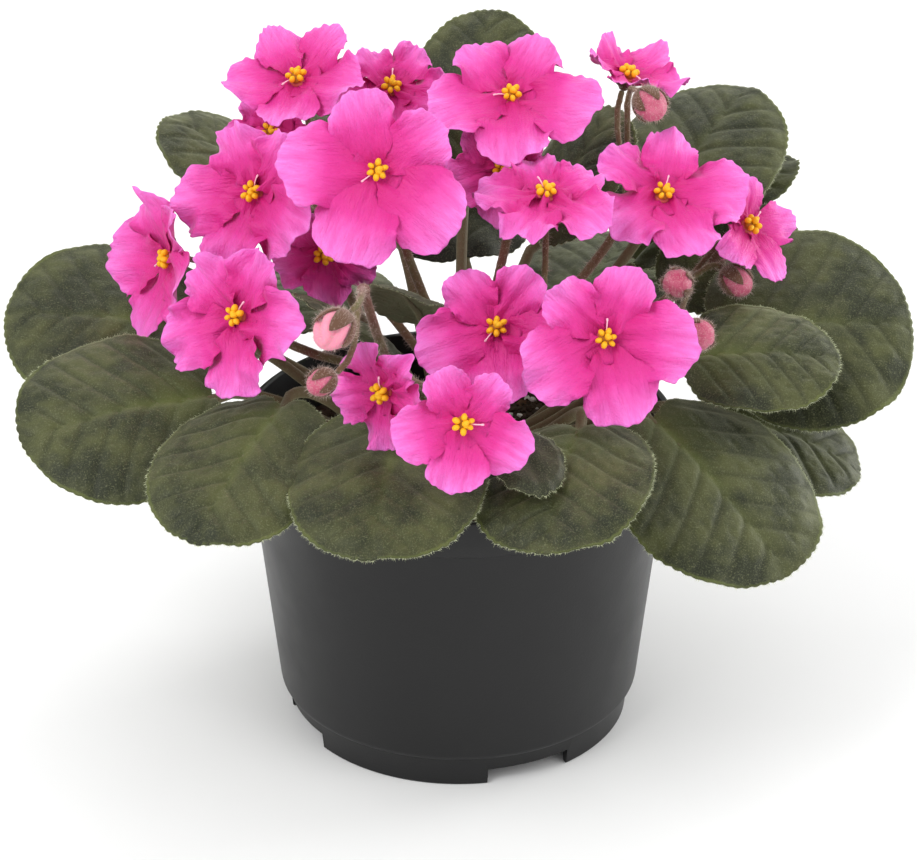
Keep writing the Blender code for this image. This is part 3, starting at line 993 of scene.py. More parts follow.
class GrowthKit:
    """The trees that scatter hairs and crumbs, and the tree that turns the pot."""

    def __init__(self) -> None:
        """Build the trees."""
        self.coat = self._coat()
        self.fringe = self._fringe()
        self.crumbs = self._crumbs()
        self.turned_pot = self._turned_pot()

    @staticmethod
    def _hair(bench: Bench, given: Node, points: Socket,
              rotation: Socket) -> Socket:
        """Stand a leaning three-sided hair of random length on each point.

        Args:
            bench: The tree's bench.
            given: Its input node.
            points: The points.
            rotation: The way that each hair stands.

        Returns:
            The hairs.
        """
        cone = bench.add("GeometryNodeMeshCone",
                         {"Vertices": 3, "Side Segments": 1, "Radius Top": 0.0,
                          "Radius Bottom": given.outputs["Root radius"],
                          "Depth": given.outputs["Length"]}, fill_type="NGON")
        seed = given.outputs["Seed"]
        lean = bench.add("FunctionNodeRandomValue", data_type="FLOAT_VECTOR")
        angle = bench.maths("MULTIPLY", given.outputs["Lean"], -1.0)
        low = bench.add("ShaderNodeCombineXYZ", {0: angle, 1: angle, 2: 0.0})
        high = bench.add("ShaderNodeCombineXYZ", {0: given.outputs["Lean"],
                                                  1: given.outputs["Lean"], 2: math.tau})
        bench.join(low.outputs[0], lean.inputs[0])
        bench.join(high.outputs[0], lean.inputs[1])
        bench.join(seed, lean.inputs["Seed"])
        bent = bench.add("FunctionNodeRotateRotation", {0: rotation, 1: lean.outputs[0]},
                         rotation_space="LOCAL")
        size = bench.add("FunctionNodeRandomValue", {2: 0.45, 3: 1.15}, data_type="FLOAT")
        bench.join(seed, size.inputs["Seed"])
        return bench.add("GeometryNodeInstanceOnPoints",
                         {"Points": points, "Instance": cone.outputs[0],
                          "Rotation": bent.outputs[0], "Scale": size.outputs[1]}).outputs[0]

    def _coat(self) -> Tree:
        """Build the tree that grows hairs all over a skin, as thick as its fuzz value says.

        Returns:
            The tree.
        """
        bench, given, result = open_geometry(
            "hair coat",
            (("Density", FLOAT, 1.0e6), ("Length", FLOAT, 1.0 * MM),
             ("Root radius", FLOAT, 0.03 * MM), ("Lean", FLOAT, 0.5),
             ("Seed", WHOLE, 1)))
        fuzz = bench.add("GeometryNodeInputNamedAttribute", {"Name": "fuzz"}, data_type="FLOAT")
        density = bench.maths("MULTIPLY", fuzz.outputs[0], given.outputs["Density"])
        spread = bench.add("GeometryNodeDistributePointsOnFaces",
                           {"Mesh": given.outputs["Geometry"], "Seed": given.outputs["Seed"]})
        bench.join(density, spread.inputs["Density"])
        hairs = self._hair(bench, given, spread.outputs["Points"], spread.outputs["Rotation"])
        return close_geometry(bench, given, result, hairs)

    def _fringe(self) -> Tree:
        """Build the tree that grows one hair on each point, along its way value.

        Returns:
            The tree.
        """
        bench, given, result = open_geometry(
            "hair fringe",
            (("Length", FLOAT, 1.0 * MM),
             ("Root radius", FLOAT, 0.03 * MM), ("Lean", FLOAT, 0.4),
             ("Seed", WHOLE, 1)))
        way = bench.add("GeometryNodeInputNamedAttribute", {"Name": "way"},
                        data_type="FLOAT_VECTOR")
        points = bench.add("GeometryNodeMeshToPoints", {"Mesh": given.outputs["Geometry"]})
        aim = bench.add("FunctionNodeAlignRotationToVector", {"Vector": way.outputs[0]}, axis="Z")
        hairs = self._hair(bench, given, points.outputs[0], aim.outputs[0])
        return close_geometry(bench, given, result, hairs)

    @staticmethod
    def _crumbs() -> Tree:
        """Build the tree that strews small rough lumps over a surface.

        Returns:
            The tree.
        """
        bench, given, result = open_geometry(
            "crumbs",
            (("Density", FLOAT, 1.0e5), ("Size", FLOAT, 0.5 * MM),
             ("Flatness", FLOAT, 0.7), ("Seed", WHOLE, 1)))
        spread = bench.add("GeometryNodeDistributePointsOnFaces",
                           {"Mesh": given.outputs["Geometry"], "Density": given.outputs["Density"],
                            "Seed": given.outputs["Seed"]})
        lump = bench.add("GeometryNodeMeshIcoSphere", {"Radius": given.outputs["Size"],
                                                       "Subdivisions": 1})
        turn = bench.add("FunctionNodeRandomValue", {0: (-0.5, -0.5, 0.0), 1: (0.5, 0.5, math.tau)},
                         data_type="FLOAT_VECTOR")
        scale = bench.add("FunctionNodeRandomValue", data_type="FLOAT_VECTOR")
        scale.inputs[0].default_value = (0.5, 0.4, 0.4)
        high = bench.add("ShaderNodeCombineXYZ", {0: 1.6, 1: 1.2, 2: given.outputs["Flatness"]})
        bench.join(high.outputs[0], scale.inputs[1])
        for node in (turn, scale):
            bench.join(given.outputs["Seed"], node.inputs["Seed"])
        lumps = bench.add("GeometryNodeInstanceOnPoints",
                          {"Points": spread.outputs["Points"], "Instance": lump.outputs[0],
                           "Rotation": turn.outputs[0], "Scale": scale.outputs[0]})
        return close_geometry(bench, given, result, lumps.outputs[0])

    @staticmethod
    def _turned_pot() -> Tree:
        """Build the tree that turns an outline about Z and cuts its notches and drain holes.

        Returns:
            The tree.
        """
        bench, given, result = open_geometry(
            "turned pot",
            (("Carrier radius", FLOAT, 30.0 * MM), ("Segments", WHOLE, 160),
             ("Notches", WHOLE, 4), ("Notch width", FLOAT, 22.0 * MM),
             ("Notch height", FLOAT, 4.6 * MM),
             ("Notch turn", FLOAT, 0.0), ("Foot radius", FLOAT, 44.0 * MM),
             ("Holes", WHOLE, 5), ("Hole radius", FLOAT, 4.0 * MM),
             ("Hole circle", FLOAT, 27.0 * MM),
             ("Hole turn", FLOAT, 0.0), ("Floor", FLOAT, 9.0 * MM)))
        size = given.outputs
        outline = bench.add("GeometryNodeMeshToCurve", {0: size["Geometry"]})
        ring = bench.add("GeometryNodeCurvePrimitiveCircle", {"Resolution": size["Segments"],
                                                              "Radius": size["Carrier radius"]})
        swept = bench.add("GeometryNodeCurveToMesh", {"Curve": ring.outputs[0],
                                                      "Profile Curve": outline.outputs[0]})
        joined = bench.add("GeometryNodeMergeByDistance", {"Geometry": swept.outputs[0],
                                                           "Distance": 0.02 * MM})
        depth = bench.maths("MULTIPLY", size["Notch height"], 2.0)
        block_size = bench.add("ShaderNodeCombineXYZ", {0: 14.0 * MM, 1: size["Notch width"],
                                                        2: depth})
        block = bench.add("GeometryNodeMeshCube", {"Size": block_size.outputs[0]})
        bar = bench.add("GeometryNodeMeshCylinder", {"Vertices": 40, "Radius": size["Hole radius"],
                                                     "Depth": 8.0 * MM})
        cutters = []
        for count, radius, turn, height, shape in (
                (size["Notches"], size["Foot radius"], size["Notch turn"], 0.0, block),
                (size["Holes"], size["Hole circle"], size["Hole turn"], size["Floor"], bar)):
            places = bench.add("GeometryNodePoints", {"Count": count})
            number = bench.add("GeometryNodeInputIndex")
            step = bench.maths("DIVIDE", math.tau, count)
            angle = bench.maths("ADD", bench.maths("MULTIPLY", number.outputs[0], step), turn)
            x = bench.maths("MULTIPLY", bench.maths("COSINE", angle), radius)
            y = bench.maths("MULTIPLY", bench.maths("SINE", angle), radius)
            where = bench.add("ShaderNodeCombineXYZ", {0: x, 1: y, 2: height})
            set_out = bench.add("GeometryNodeSetPosition", {"Geometry": places.outputs[0],
                                                            "Position": where.outputs[0]})
            turned_by = bench.add("ShaderNodeCombineXYZ", {0: 0.0, 1: 0.0, 2: angle})
            copies = bench.add("GeometryNodeInstanceOnPoints",
                               {"Points": set_out.outputs[0], "Instance": shape.outputs[0],
                                "Rotation": turned_by.outputs[0]})
            cutters.append(bench.add("GeometryNodeRealizeInstances", {0: copies.outputs[0]}))
        cut = bench.add("GeometryNodeMeshBoolean", {"Mesh 1": joined.outputs[0]},
                        operation="DIFFERENCE", solver="EXACT")
        for cutter in cutters:
            bench.join(cutter.outputs[0], cut.inputs["Mesh 2"])
        return close_geometry(bench, given, result, cut.outputs[0])

    @staticmethod
    def grow(name: str, source: bpy.types.Object, tree: Tree,
             values: dict[str, object]) -> bpy.types.Object:
        """Run a tree on a source object and keep the result as a plain mesh.

        Args:
            name: The new piece's name.
            source: The object that the tree reads; it is removed afterwards.
            tree: The Geometry Nodes tree.
            values: The tree's inputs, by name.

        Returns:
            The new object, without modifiers.
        """
        modifier = source.modifiers.new("grow", "NODES")
        modifier.node_group = tree
        for item in tree.interface.items_tree:
            if item.item_type == "SOCKET" and item.in_out == "INPUT" and item.name in values:
                modifier[item.identifier] = values[item.name]
        bpy.context.view_layer.update()
        graph = bpy.context.evaluated_depsgraph_get()
        mesh = bpy.data.meshes.new_from_object(source.evaluated_get(graph))
        source.modifiers.clear()
        mesh.name = name
        bpy.data.objects.remove(source, do_unlink=True)
        return link_object(name, mesh)


def coat_source(pieces: Iterable[tuple[bpy.types.Object, float]]) -> bpy.types.Object:
    """Join copies of pieces into one bare skin that carries a fuzz value.

    Args:
        pieces: Each piece with how thickly its hairs stand.

    Returns:
        The joined object.
    """
    points, faces, values = [], [], []
    start = 0
    for piece, thickness in pieces:
        mesh = piece.data
        co = np.empty(len(mesh.vertices) * 3, np.float32)
        mesh.vertices.foreach_get("co", co)
        points.append(co.reshape(-1, 3))
        faces.extend([tuple(v + start for v in face.vertices) for face in mesh.polygons])
        values.append(np.full(len(mesh.vertices), thickness, np.float32))
        start += len(mesh.vertices)
    mesh = bpy.data.meshes.new("coat")
    mesh.from_pydata(np.concatenate(points).tolist(), [], faces)
    fuzz = mesh.attributes.new("fuzz", "FLOAT", "POINT")
    fuzz.data.foreach_set("value", np.concatenate(values))
    return link_object("coat", mesh)


# Pot, potting mix and crown.


@dataclass
class NurseryPot:
    """A thin moulded pot with a collar, a notched foot ring and drain holes."""

    wall: float = 1.3 * MM
    collar_height: float = 10.1 * MM
    collar_step: float = 0.9 * MM
    low_radius: float = 47.3 * MM
    low_height: float = 10.4 * MM
    foot_radius: float = 44.6 * MM
    foot_wall: float = 1.9 * MM
    floor_low: float = 8.6 * MM
    floor_high: float = 10.2 * MM
    carrier: float = 30.0 * MM
    segments: int = 160
    notches: int = 4
    notch_half_angle: float = 14.5
    notch_height: float = 4.6 * MM
    first_notch: float = -66.0
    holes: int = 5
    hole_radius: float = 4.0 * MM
    hole_circle: float = 27.0 * MM
    sharp_angle: float = 38.0

    def outline(self) -> list[tuple[float, float]]:
        """Give the closed outline of the wall, from under the middle outwards and back inside.

        Returns:
            Radius and height pairs.
        """
        low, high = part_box("pot")
        rim, top = (high.x - low.x) / 2.0, high.z
        slope = (rim - self.collar_step - self.low_radius) / (top - self.low_height)
        collar = top - self.collar_height
        wall = self.low_radius + slope * (collar - self.low_height)
        inner_top, inner_low = rim - self.wall - 0.6 * MM, self.low_radius - self.wall
        foot_in = self.foot_radius - self.foot_wall
        return [
            (0.0, self.floor_low), (foot_in + 0.1 * MM, self.floor_low),
            (foot_in + 0.35 * MM, self.floor_low - 0.4 * MM), (foot_in, 0.35 * MM),
            (foot_in + 0.35 * MM, 0.0), (self.foot_radius - 0.4 * MM, 0.0),
            (self.foot_radius, 0.4 * MM), (self.foot_radius + 0.75 * MM, self.floor_low - 0.5 * MM),
            (self.foot_radius + 1.1 * MM, self.floor_low + 0.1 * MM),
            (self.low_radius - 0.5 * MM, self.floor_low + 0.5 * MM),
            (self.low_radius - 0.1 * MM, self.low_height - 0.7 * MM),
            (self.low_radius + 0.05 * MM, self.low_height),
            (wall - 0.02 * MM, collar - 0.4 * MM), (wall + 0.1 * MM, collar - 0.05 * MM),
            (wall + self.collar_step - 0.25 * MM, collar + 0.1 * MM),
            (wall + self.collar_step, collar + 0.4 * MM), (rim - 0.02 * MM, top - 0.8 * MM),
            (rim - 0.15 * MM, top - 0.25 * MM), (rim - 0.55 * MM, top),
            (inner_top + 0.45 * MM, top), (inner_top + 0.1 * MM, top - 0.2 * MM),
            (inner_top - 0.02 * MM, top - 0.7 * MM),
            (inner_low + 0.35 * MM, self.floor_high + 1.6 * MM),
            (inner_low + 0.1 * MM, self.floor_high + 0.7 * MM),
            (inner_low - 0.5 * MM, self.floor_high + 0.15 * MM),
            (inner_low - 1.2 * MM, self.floor_high), (0.0, self.floor_high),
        ]

    def build(self, kit: GrowthKit, clothes: Wardrobe) -> bpy.types.Object:
        """Turn, cut and dress the pot.

        Args:
            kit: The Geometry Nodes trees.
            clothes: The finishes.

        Returns:
            The pot.
        """
        pairs = self.outline()
        mesh = bpy.data.meshes.new("outline")
        edges = [(i, i + 1) for i in range(len(pairs) - 1)]
        mesh.from_pydata([(r - self.carrier, -z, 0.0) for r, z in reversed(pairs)], edges, [])
        notch_width = 2.0 * self.foot_radius * math.sin(math.radians(self.notch_half_angle))
        pot = kit.grow("pot_body", link_object("outline", mesh), kit.turned_pot, {
            "Carrier radius": self.carrier, "Segments": self.segments, "Notches": self.notches,
            "Notch width": notch_width, "Notch height": self.notch_height,
            "Notch turn": math.radians(self.first_notch), "Foot radius": self.foot_radius,
            "Holes": self.holes, "Hole radius": self.hole_radius,
            "Hole circle": self.hole_circle, "Hole turn": math.tau * 0.25 / self.holes,
            "Floor": self.floor_high, "Material": clothes.pot})
        turn_outwards(pot.data)
        pot.data.shade_smooth()
        pot.data.set_sharp_from_angle(angle=math.radians(self.sharp_angle))
        hand_over(pot, ["pot"])
        return pot


@dataclass
class PottingMix:
    """Damp peat that fills the pot, with crumbs, bark and perlite on top."""

    rings: int = 34
    sides: int = 96
    crumb_density: float = 0.42e6
    bark_density: float = 0.018e6
    perlite_density: float = 0.035e6

    def build(self, kit: GrowthKit, clothes: Wardrobe) -> None:
        """Build the mound and strew its top.

        Args:
            kit: The Geometry Nodes trees.
            clothes: The finishes.
        """
        low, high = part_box("potting_mix")
        outer, top, floor = (high.x - low.x) / 2.0, high.z, low.z
        draft = Draft()
        profile = [(0.5 * MM, floor), (outer - 8.0 * MM, floor),
                   (outer - 7.0 * MM, floor + 3.0 * MM), (outer - 0.1 * MM, top - 2.2 * MM)]
        buried = len(profile)
        profile += [(r, 0.0) for r in np.linspace(outer - 0.4 * MM, 0.5 * MM, self.rings)]
        angles = np.linspace(0.0, math.tau, self.sides, endpoint=False)
        rings = []
        for i, (radius, height) in enumerate(profile):
            heights = np.full(self.sides, height)
            if i >= buried:
                mound = 1.5 * MM * (1.0 - (radius / outer) ** 2)
                rough = waves(angles, i, (3, 5, 8, 13, 21, 34)) * 0.35 * MM
                heights = top - 2.3 * MM + mound + rough
            rings.append(np.stack((radius * np.cos(angles), radius * np.sin(angles), heights), -1))
        draft.skin(np.array(rings), (0, 0, 0, 1))
        mix = draft.build("potting_mix_mound", [clothes.peat])
        hand_over(mix, ["potting_mix"])
        for name, density, size, flat, seed, material in (
                ("mix_crumbs", self.crumb_density, 0.75 * MM, 1.0, 4, clothes.crumb),
                ("mix_bark", self.bark_density, 1.7 * MM, 0.45, 9, clothes.bark),
                ("mix_perlite", self.perlite_density, 0.95 * MM, 1.1, 15, clothes.perlite)):
            source = self._top_skin(outer, top)
            strewn = kit.grow(name, source, kit.crumbs, {
                "Density": density, "Size": size, "Flatness": flat, "Seed": seed,
                "Material": material})
            hand_over(strewn)

    @staticmethod
    def _top_skin(outer: float, top: float) -> bpy.types.Object:
        """Make the ring of surface that the crumbs lie on, clear of the crown and the wall.

        Args:
            outer: The mix's radius.
            top: The height of its top.

        Returns:
            The ring.
        """
        builder = bmesh.new()
        sides = 64
        loops = []
        for radius, height in ((10.6 * MM, top - 0.75 * MM), (outer * 0.6, top - 1.2 * MM),
                               (outer - 1.6 * MM, top - 2.1 * MM)):
            ring = []
            for i in range(sides):
                angle = math.tau * i / sides
                ring.append(builder.verts.new((radius * math.cos(angle), radius * math.sin(angle),
                                               height)))
            loops.append(ring)
        for inner, outer_ring in zip(loops, loops[1:]):
            for i in range(sides):
                j = (i + 1) % sides
                builder.faces.new((inner[i], outer_ring[i], outer_ring[j], inner[j]))
        mesh = bpy.data.meshes.new("top")
        builder.to_mesh(mesh)
        builder.free()
        return link_object("top", mesh)


@dataclass
class Crown:
    """The short woody stem with its leaf scars."""

    sides: int = 72
    rows: int = 48
    climb: float = 1.3

    def build(self, clothes: Wardrobe) -> bpy.types.Object:
        """Build the crown.

        Args:
            clothes: The finishes.

        Returns:
            The crown.
        """
        low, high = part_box("crown_stem")
        radius, foot, dome = (high.x - low.x) / 2.0, low.z, high.z
        angles = np.linspace(0.0, math.tau, self.sides, endpoint=False)
        rings = []
        for i in range(self.rows):
            share = i / (self.rows - 1)
            height = foot + (dome - foot) * min(share * self.climb, 1.0)
            over = max(height - (dome - radius), 0.0) / radius
            if share * self.climb > 1.0:
                height = dome
            width = radius * math.sqrt(max(1.0 - over * over, 0.0025))
            scars = np.cos(9.0 * angles + 2.4 * i * 0.35) * np.cos(0.55 * i + 1.5 * angles)
            width = width * (0.955 + 0.035 * scars)
            rings.append(np.stack((width * np.cos(angles), width * np.sin(angles),
                                   np.full(self.sides, height)), -1))
            if share * self.climb >= 1.0:
                break
        draft = Draft()
        draft.skin(np.array(rings), (0, 0, 0, 1))
        crown = draft.build("crown", [clothes.stem])
        hand_over(crown, ["crown_stem"])
        return crown


def crown_seat(direction: np.ndarray, drop: float, radius: float) -> np.ndarray:
    """Give the point where a stem meets the crown's skin.

    Args:
        direction: The way that the stem leaves.
        drop: How far below the dome's middle it leaves.
        radius: The stem's radius.

    Returns:
        The middle of the stem's end.
    """
    centre = np.array((0.0, 0.0, CROWN_DOME - drop))
    reach = CROWN_RADIUS + GAP + radius * radius / (2.0 * CROWN_RADIUS)
    if drop == 0.0:
        return centre + direction * reach
    level = unit(np.array((direction[0], direction[1], 0.0)))
    return centre + level * (reach + radius * direction[2])


# Leaves.


@dataclass(frozen=True)
class LeafPlan:
    """One leaf: where it leaves the crown, the ends of its midrib, its width and its looks."""

    node: str
    tier: int
    attach: float
    rise: float
    base: tuple[float, float, float]
    tip: tuple[float, float, float]
    width: float
    roll: float = 0.0
    arch: float = 0.06
    looks: LeafLooks = LeafLooks.FULL


LEAVES = (
    LeafPlan("leaf_01", 0, 180, 14, (-60, 3, 105), (-115, 5, 110), 54, -24),
    LeafPlan("leaf_02", 0, 206, 16, (-58, -30, 104), (-104, -48, 101), 52, -24),
    LeafPlan("leaf_03", 0, 232, 18, (-42, -38, 106), (-61, -82, 92), 41, -6),
    LeafPlan("leaf_04", 0, 260, 20, (-13, -43, 106), (-20, -93, 94), 46, 0, looks=LeafLooks.PALE),
    LeafPlan("leaf_05", 0, 298, 20, (29, -44, 104), (19, -90, 94), 42, 6),
    LeafPlan("leaf_06", 0, 326, 14, (46, -30, 98), (78, -64, 72), 53, 6),
    LeafPlan("leaf_07", 1, 338, 18, (54, -22, 110), (93, -24, 111), 36, 20),
    LeafPlan("leaf_08", 1, 5, 14, (62, 4, 106), (115, 2, 108), 60, 32),
    LeafPlan("leaf_09", 0, 350, 14, (60, -10, 90), (102, -14, 75), 40, 8),
    LeafPlan("leaf_10", 2, 30, 34, (50, 32, 124), (78, 74, 145), 44, 10),
    LeafPlan("leaf_11", 1, 46, 36, (46, 50, 104), (91, 68, 128), 30, 0),
    LeafPlan("leaf_12", 0, 24, 16, (54, 24, 106), (87, 42, 122), 28, 30),
    LeafPlan("leaf_13", 2, 88, 44, (2, 50, 129), (8, 84, 164), 37, 0),
    LeafPlan("leaf_14", 1, 145, 32, (-38, 28, 121), (-76, 52, 146), 36, 0),
    LeafPlan("leaf_15", 2, 236, 60, (-6, -12, 112), (-15, -28, 131), 28, 0, looks=LeafLooks.SHADED),
    LeafPlan("leaf_16", 2, 57, 46, (20, 30, 118), (42, 50, 148), 30, 0),
    LeafPlan("leaf_17", 2, 210, 42, (-18, -9, 106), (-38, -21, 125), 28, 0, looks=LeafLooks.SHADED),
    LeafPlan("leaf_18", 1, 115, 36, (-16, 38, 116), (-33, 74, 142), 34, 0),
    LeafPlan("leaf_19", 1, 281, 28, (13, -59, 109), (20, -79, 103), 17, 0, looks=LeafLooks.YOUNG_SHADED),
    LeafPlan("leaf_20", 0, 155, 14, (-53, 22, 92), (-100, 46, 88), 48, 0),
    LeafPlan("leaf_21", 0, 126, 14, (-30, 42, 91), (-60, 90, 86), 50, 0),
    LeafPlan("leaf_22", 0, 95, 24, (2, 46, 106), (-4, 80, 124), 44, 0, looks=LeafLooks.SHADED),
    LeafPlan("leaf_23", 0, 60, 14, (30, 47, 93), (54, 92, 96), 46, 0),
)


def disc_grid(count: int, fullness: float) -> tuple[np.ndarray, np.ndarray]:
    """Give a square grid of points drawn into a disc.

    Args:
        count: Points along each side.
        fullness: Share of the square that is kept, 0 for a true disc.

    Returns:
        The two coordinates of each point, from -1 to 1, along and across.
    """
    a, b = np.meshgrid(np.linspace(-1, 1, count), np.linspace(-1, 1, count), indexing="ij")
    x, y = a * np.sqrt(1.0 - b * b / 2.0), b * np.sqrt(1.0 - a * a / 2.0)
    return x * (1 - fullness) + a * fullness, y * (1 - fullness) + b * fullness


@dataclass
class Leaf:
    """A leaf's fine mesh: a quilted blade with a scalloped rim, on its petiole and midrib."""

    plan: LeafPlan
    seed: int
    count: int = 68
    petiole_radius: float = 1.5 * MM
    thickness: float = 0.8 * MM
    tooth_pitch: float = 2.5 * MM
    quilt: float = 0.62 * MM

    def __post_init__(self) -> None:
        """Work out the leaf's axes and sizes."""
        plan = self.plan
        self.base, self.tip = np.array(plan.base) * MM, np.array(plan.tip) * MM
        self.length = float(np.linalg.norm(self.tip - self.base))
        self.half = 0.5 * plan.width * MM
        self.along = unit(self.tip - self.base)
        side = unit(np.cross(self.along, (0.0, 0.0, 1.0)))
        self.side = turned(side, self.along, plan.roll)
        self.normal = unit(np.cross(self.side, self.along))
        way = spherical(plan.attach, plan.rise)
        start = crown_seat(way, TIER_DROPS[plan.tier], self.petiole_radius)
        arrive = unit(self.along + self.normal * 4.0 * plan.arch)
        self.petiole = bezier(start, way, self.base, arrive, 26)

    def plan_points(self) -> np.ndarray:
        """Give the outermost points of the leaf's plan.

        Returns:
            The points, one to a row.
        """
        s = np.linspace(0.04, 0.99, 24)[:, None]
        middle = self._midline(s)
        half = self.half * np.sqrt(1.0 - (2.0 * s - 1.0) ** 2) ** 0.9
        drop = self.normal * 0.1 * half
        rims = [middle + self.side * half - drop, middle - self.side * half - drop]
        return np.concatenate((*rims, middle, self.petiole))

    def _midline(self, s: np.ndarray) -> np.ndarray:
        """Give the midrib's point at a share of the blade's length."""
        lift = 4.0 * self.plan.arch * s * (1.0 - s) * self.length
        return self.base + (self.tip - self.base) * s + self.normal * lift

    def _veins(self, s: np.ndarray, across: np.ndarray) -> tuple[np.ndarray, np.ndarray]:
        """Give how near each point is to a side vein, and to the midrib.

        Args:
            s: Share of the blade's length.
            across: Share of the blade's half width.

        Returns:
            Two arrays from 0, far, to 1, on the vein.
        """
        offset = np.abs(across)
        number = 6.4 * (s - 0.40 * offset * (1.0 - 0.25 * offset) + 0.06) + 0.15 * self.seed
        number = number + 0.25 * (across > 0)
        away = np.abs(number - np.round(number)) * 2.0
        side_vein = np.exp(-(away / 0.22) ** 2) * smooth_step(1.05, 0.8, offset)
        cells = np.abs(np.sin(offset * 10.5 + 1.7 * np.round(number) + self.seed))
        small = np.exp(-(cells / 0.30) ** 2) * 0.45 * smooth_step(0.08, 0.2, offset)
        rib = np.exp(-(offset * self.half / (1.5 * MM)) ** 2) * (1.0 - 0.6 * s)
        return np.maximum(side_vein, small), rib

    def _heights(self, x: np.ndarray, y: np.ndarray) -> tuple[np.ndarray, ...]:
        """Give the blade's heights over its flat plan.

        Args:
            x: Place along the blade, -1 to 1.
            y: Place across it, -1 to 1.

        Returns:
            The front's heights, the thickness, the vein value and the rib value.
        """
        radius = np.sqrt(x * x + y * y)
        angle = np.arctan2(y, x)
        s = (x + 1.0) / 2.0
        vein, rib = self._veins(s, y)
        size = min(1.0, self.half / (20.0 * MM))
        ruffle = waves(angle, self.seed, (2, 3, 5)) * 1.0 * MM * size * radius**3
        fine = waves(angle, self.seed + 50, (9, 14)) * 0.28 * MM * radius**5
        swell = waves(3.0 * x + 2.0 * y, self.seed + 90, (1, 2)) * 0.5 * MM
        curl = -0.10 * self.half * y * y - 0.9 * MM * smooth_step(0.8, 1.0, radius)
        lobes = 1.4 * MM * (1.0 - s) ** 2 * np.exp(-((np.abs(y) - 0.25) / 0.2) ** 2)
        front = curl + ruffle + fine + swell * (1 - radius**2) + lobes
        quilt = self.quilt * self.plan.looks.quilting * size
        front = front - quilt * vein * smooth_step(1.0, 0.85, radius) - 0.9 * MM * rib
        body = self.thickness * (1.0 - 0.55 * smooth_step(0.75, 1.0, radius))
        return front, body, vein, rib

    def blade(self, draft: Draft) -> tuple[np.ndarray, np.ndarray]:
        """Add the blade to a draft.

        Args:
            draft: The draft.

        Returns:
            The rim's points and the outward way at each of them, for the fringe.
        """
        x, y = disc_grid(self.count, 0.06)
        angle = np.arctan2(y, x)
        radius = np.minimum(np.sqrt(x * x + y * y), 1.05)
        teeth = 2 * round(math.pi * (0.5 * self.length + self.half) / self.tooth_pitch / 2.0)
        scallop = np.abs(np.sin(angle * teeth / 2.0 + 0.5 * np.sin(3 * angle + self.seed)))
        tooth = 0.42 * MM / self.half * (0.75 + 0.35 * waves(angle, self.seed + 8, (4, 7)))
        sway = 0.016 * waves(angle, self.seed, (2, 3))
        scale = 1.0 + radius**6 * (tooth * (scallop - 0.6) + sway)
        notch = 0.10 * np.exp(-((np.abs(angle) - math.pi) / 0.16) ** 2) * radius**4
        x, y = x * (scale - notch), y * scale
        front_height, body, vein, rib = self._heights(x, y)
        s = (x + 1.0) / 2.0
        middle = self._midline(s[..., None])
        flat = middle + self.side * (y * self.half)[..., None]
        front = flat + self.normal * front_height[..., None]
        back = flat + self.normal * (front_height - body)[..., None]
        zero = np.zeros_like(s)
        looks = self.plan.looks
        # Painted shade: darker towards the blade's base, under the flowers, and all over leaves set
        # in shade.
        painted_shade = 0.5 * np.clip(looks.painted_shade_share + 0.55 * smooth_step(0.5, 0.0, s), 0.0, 1.0)
        rim_line = 0.4 * smooth_step(0.985, 1.0, radius)
        base = np.exp(-((s - 0.10) / 0.22) ** 2) * np.exp(-(y / 0.38) ** 2)
        middle_green = 0.7 * rib * (1.0 - s) ** 1.2 + 0.5 * base
        green = np.clip(rim_line + looks.greenness * middle_green, 0, 1)
        vein = vein * looks.quilting
        # Tone: the vein, which also sets painted shade in the grooves, the painted shade, the green
        # and zero.
        tones = np.stack((vein, painted_shade, green, zero), -1)
        under = np.stack((vein * 0.4, np.ones_like(s), zero, zero), -1)
        maps = np.stack((0.5 + 0.5 * y, s), -1)
        draft.sheet(front, back, tones, under, maps)
        index = np.arange(s.size).reshape(s.shape)
        rim = np.concatenate((index[0, :-1], index[:-1, -1], index[-1, :0:-1], index[:0:-1, 0]))
        edge = (0.5 * (front + back)).reshape(-1, 3)[rim]
        rim_angle = angle.reshape(-1)[rim]
        ways = np.cos(rim_angle)[:, None] * self.along + np.sin(rim_angle)[:, None] * self.side
        return edge, ways - 0.15 * self.normal

    def stalk(self, draft: Draft) -> None:
        """Add the petiole, which runs on under the blade as its midrib.

        Args:
            draft: The draft.
        """
        stops = 22
        s = np.linspace(0.03, 0.93, stops)[:, None]
        front, body, _, _ = self._heights(2.0 * s[:, 0] - 1.0, np.zeros(stops))
        radii = np.linspace(0.88, 0.16, stops) * self.petiole_radius
        drop = front - body - 0.55 * radii + 0.1 * MM
        rib = self._midline(s) + self.normal * drop[:, None]
        path = np.concatenate((self.petiole[:-1], rib))
        steps = len(self.petiole) - 1
        radii = np.concatenate((np.linspace(1.0, 0.92, steps) * self.petiole_radius, radii))
        tone = np.tile((0.0, 0.0, 0.0, 1.0), (len(path), 1))
        tone[steps:, 3] = np.linspace(0.8, 0.1, stops)
        tone[steps:, 1] = 1.0
        draft.tube(path, radii, 12, tone)


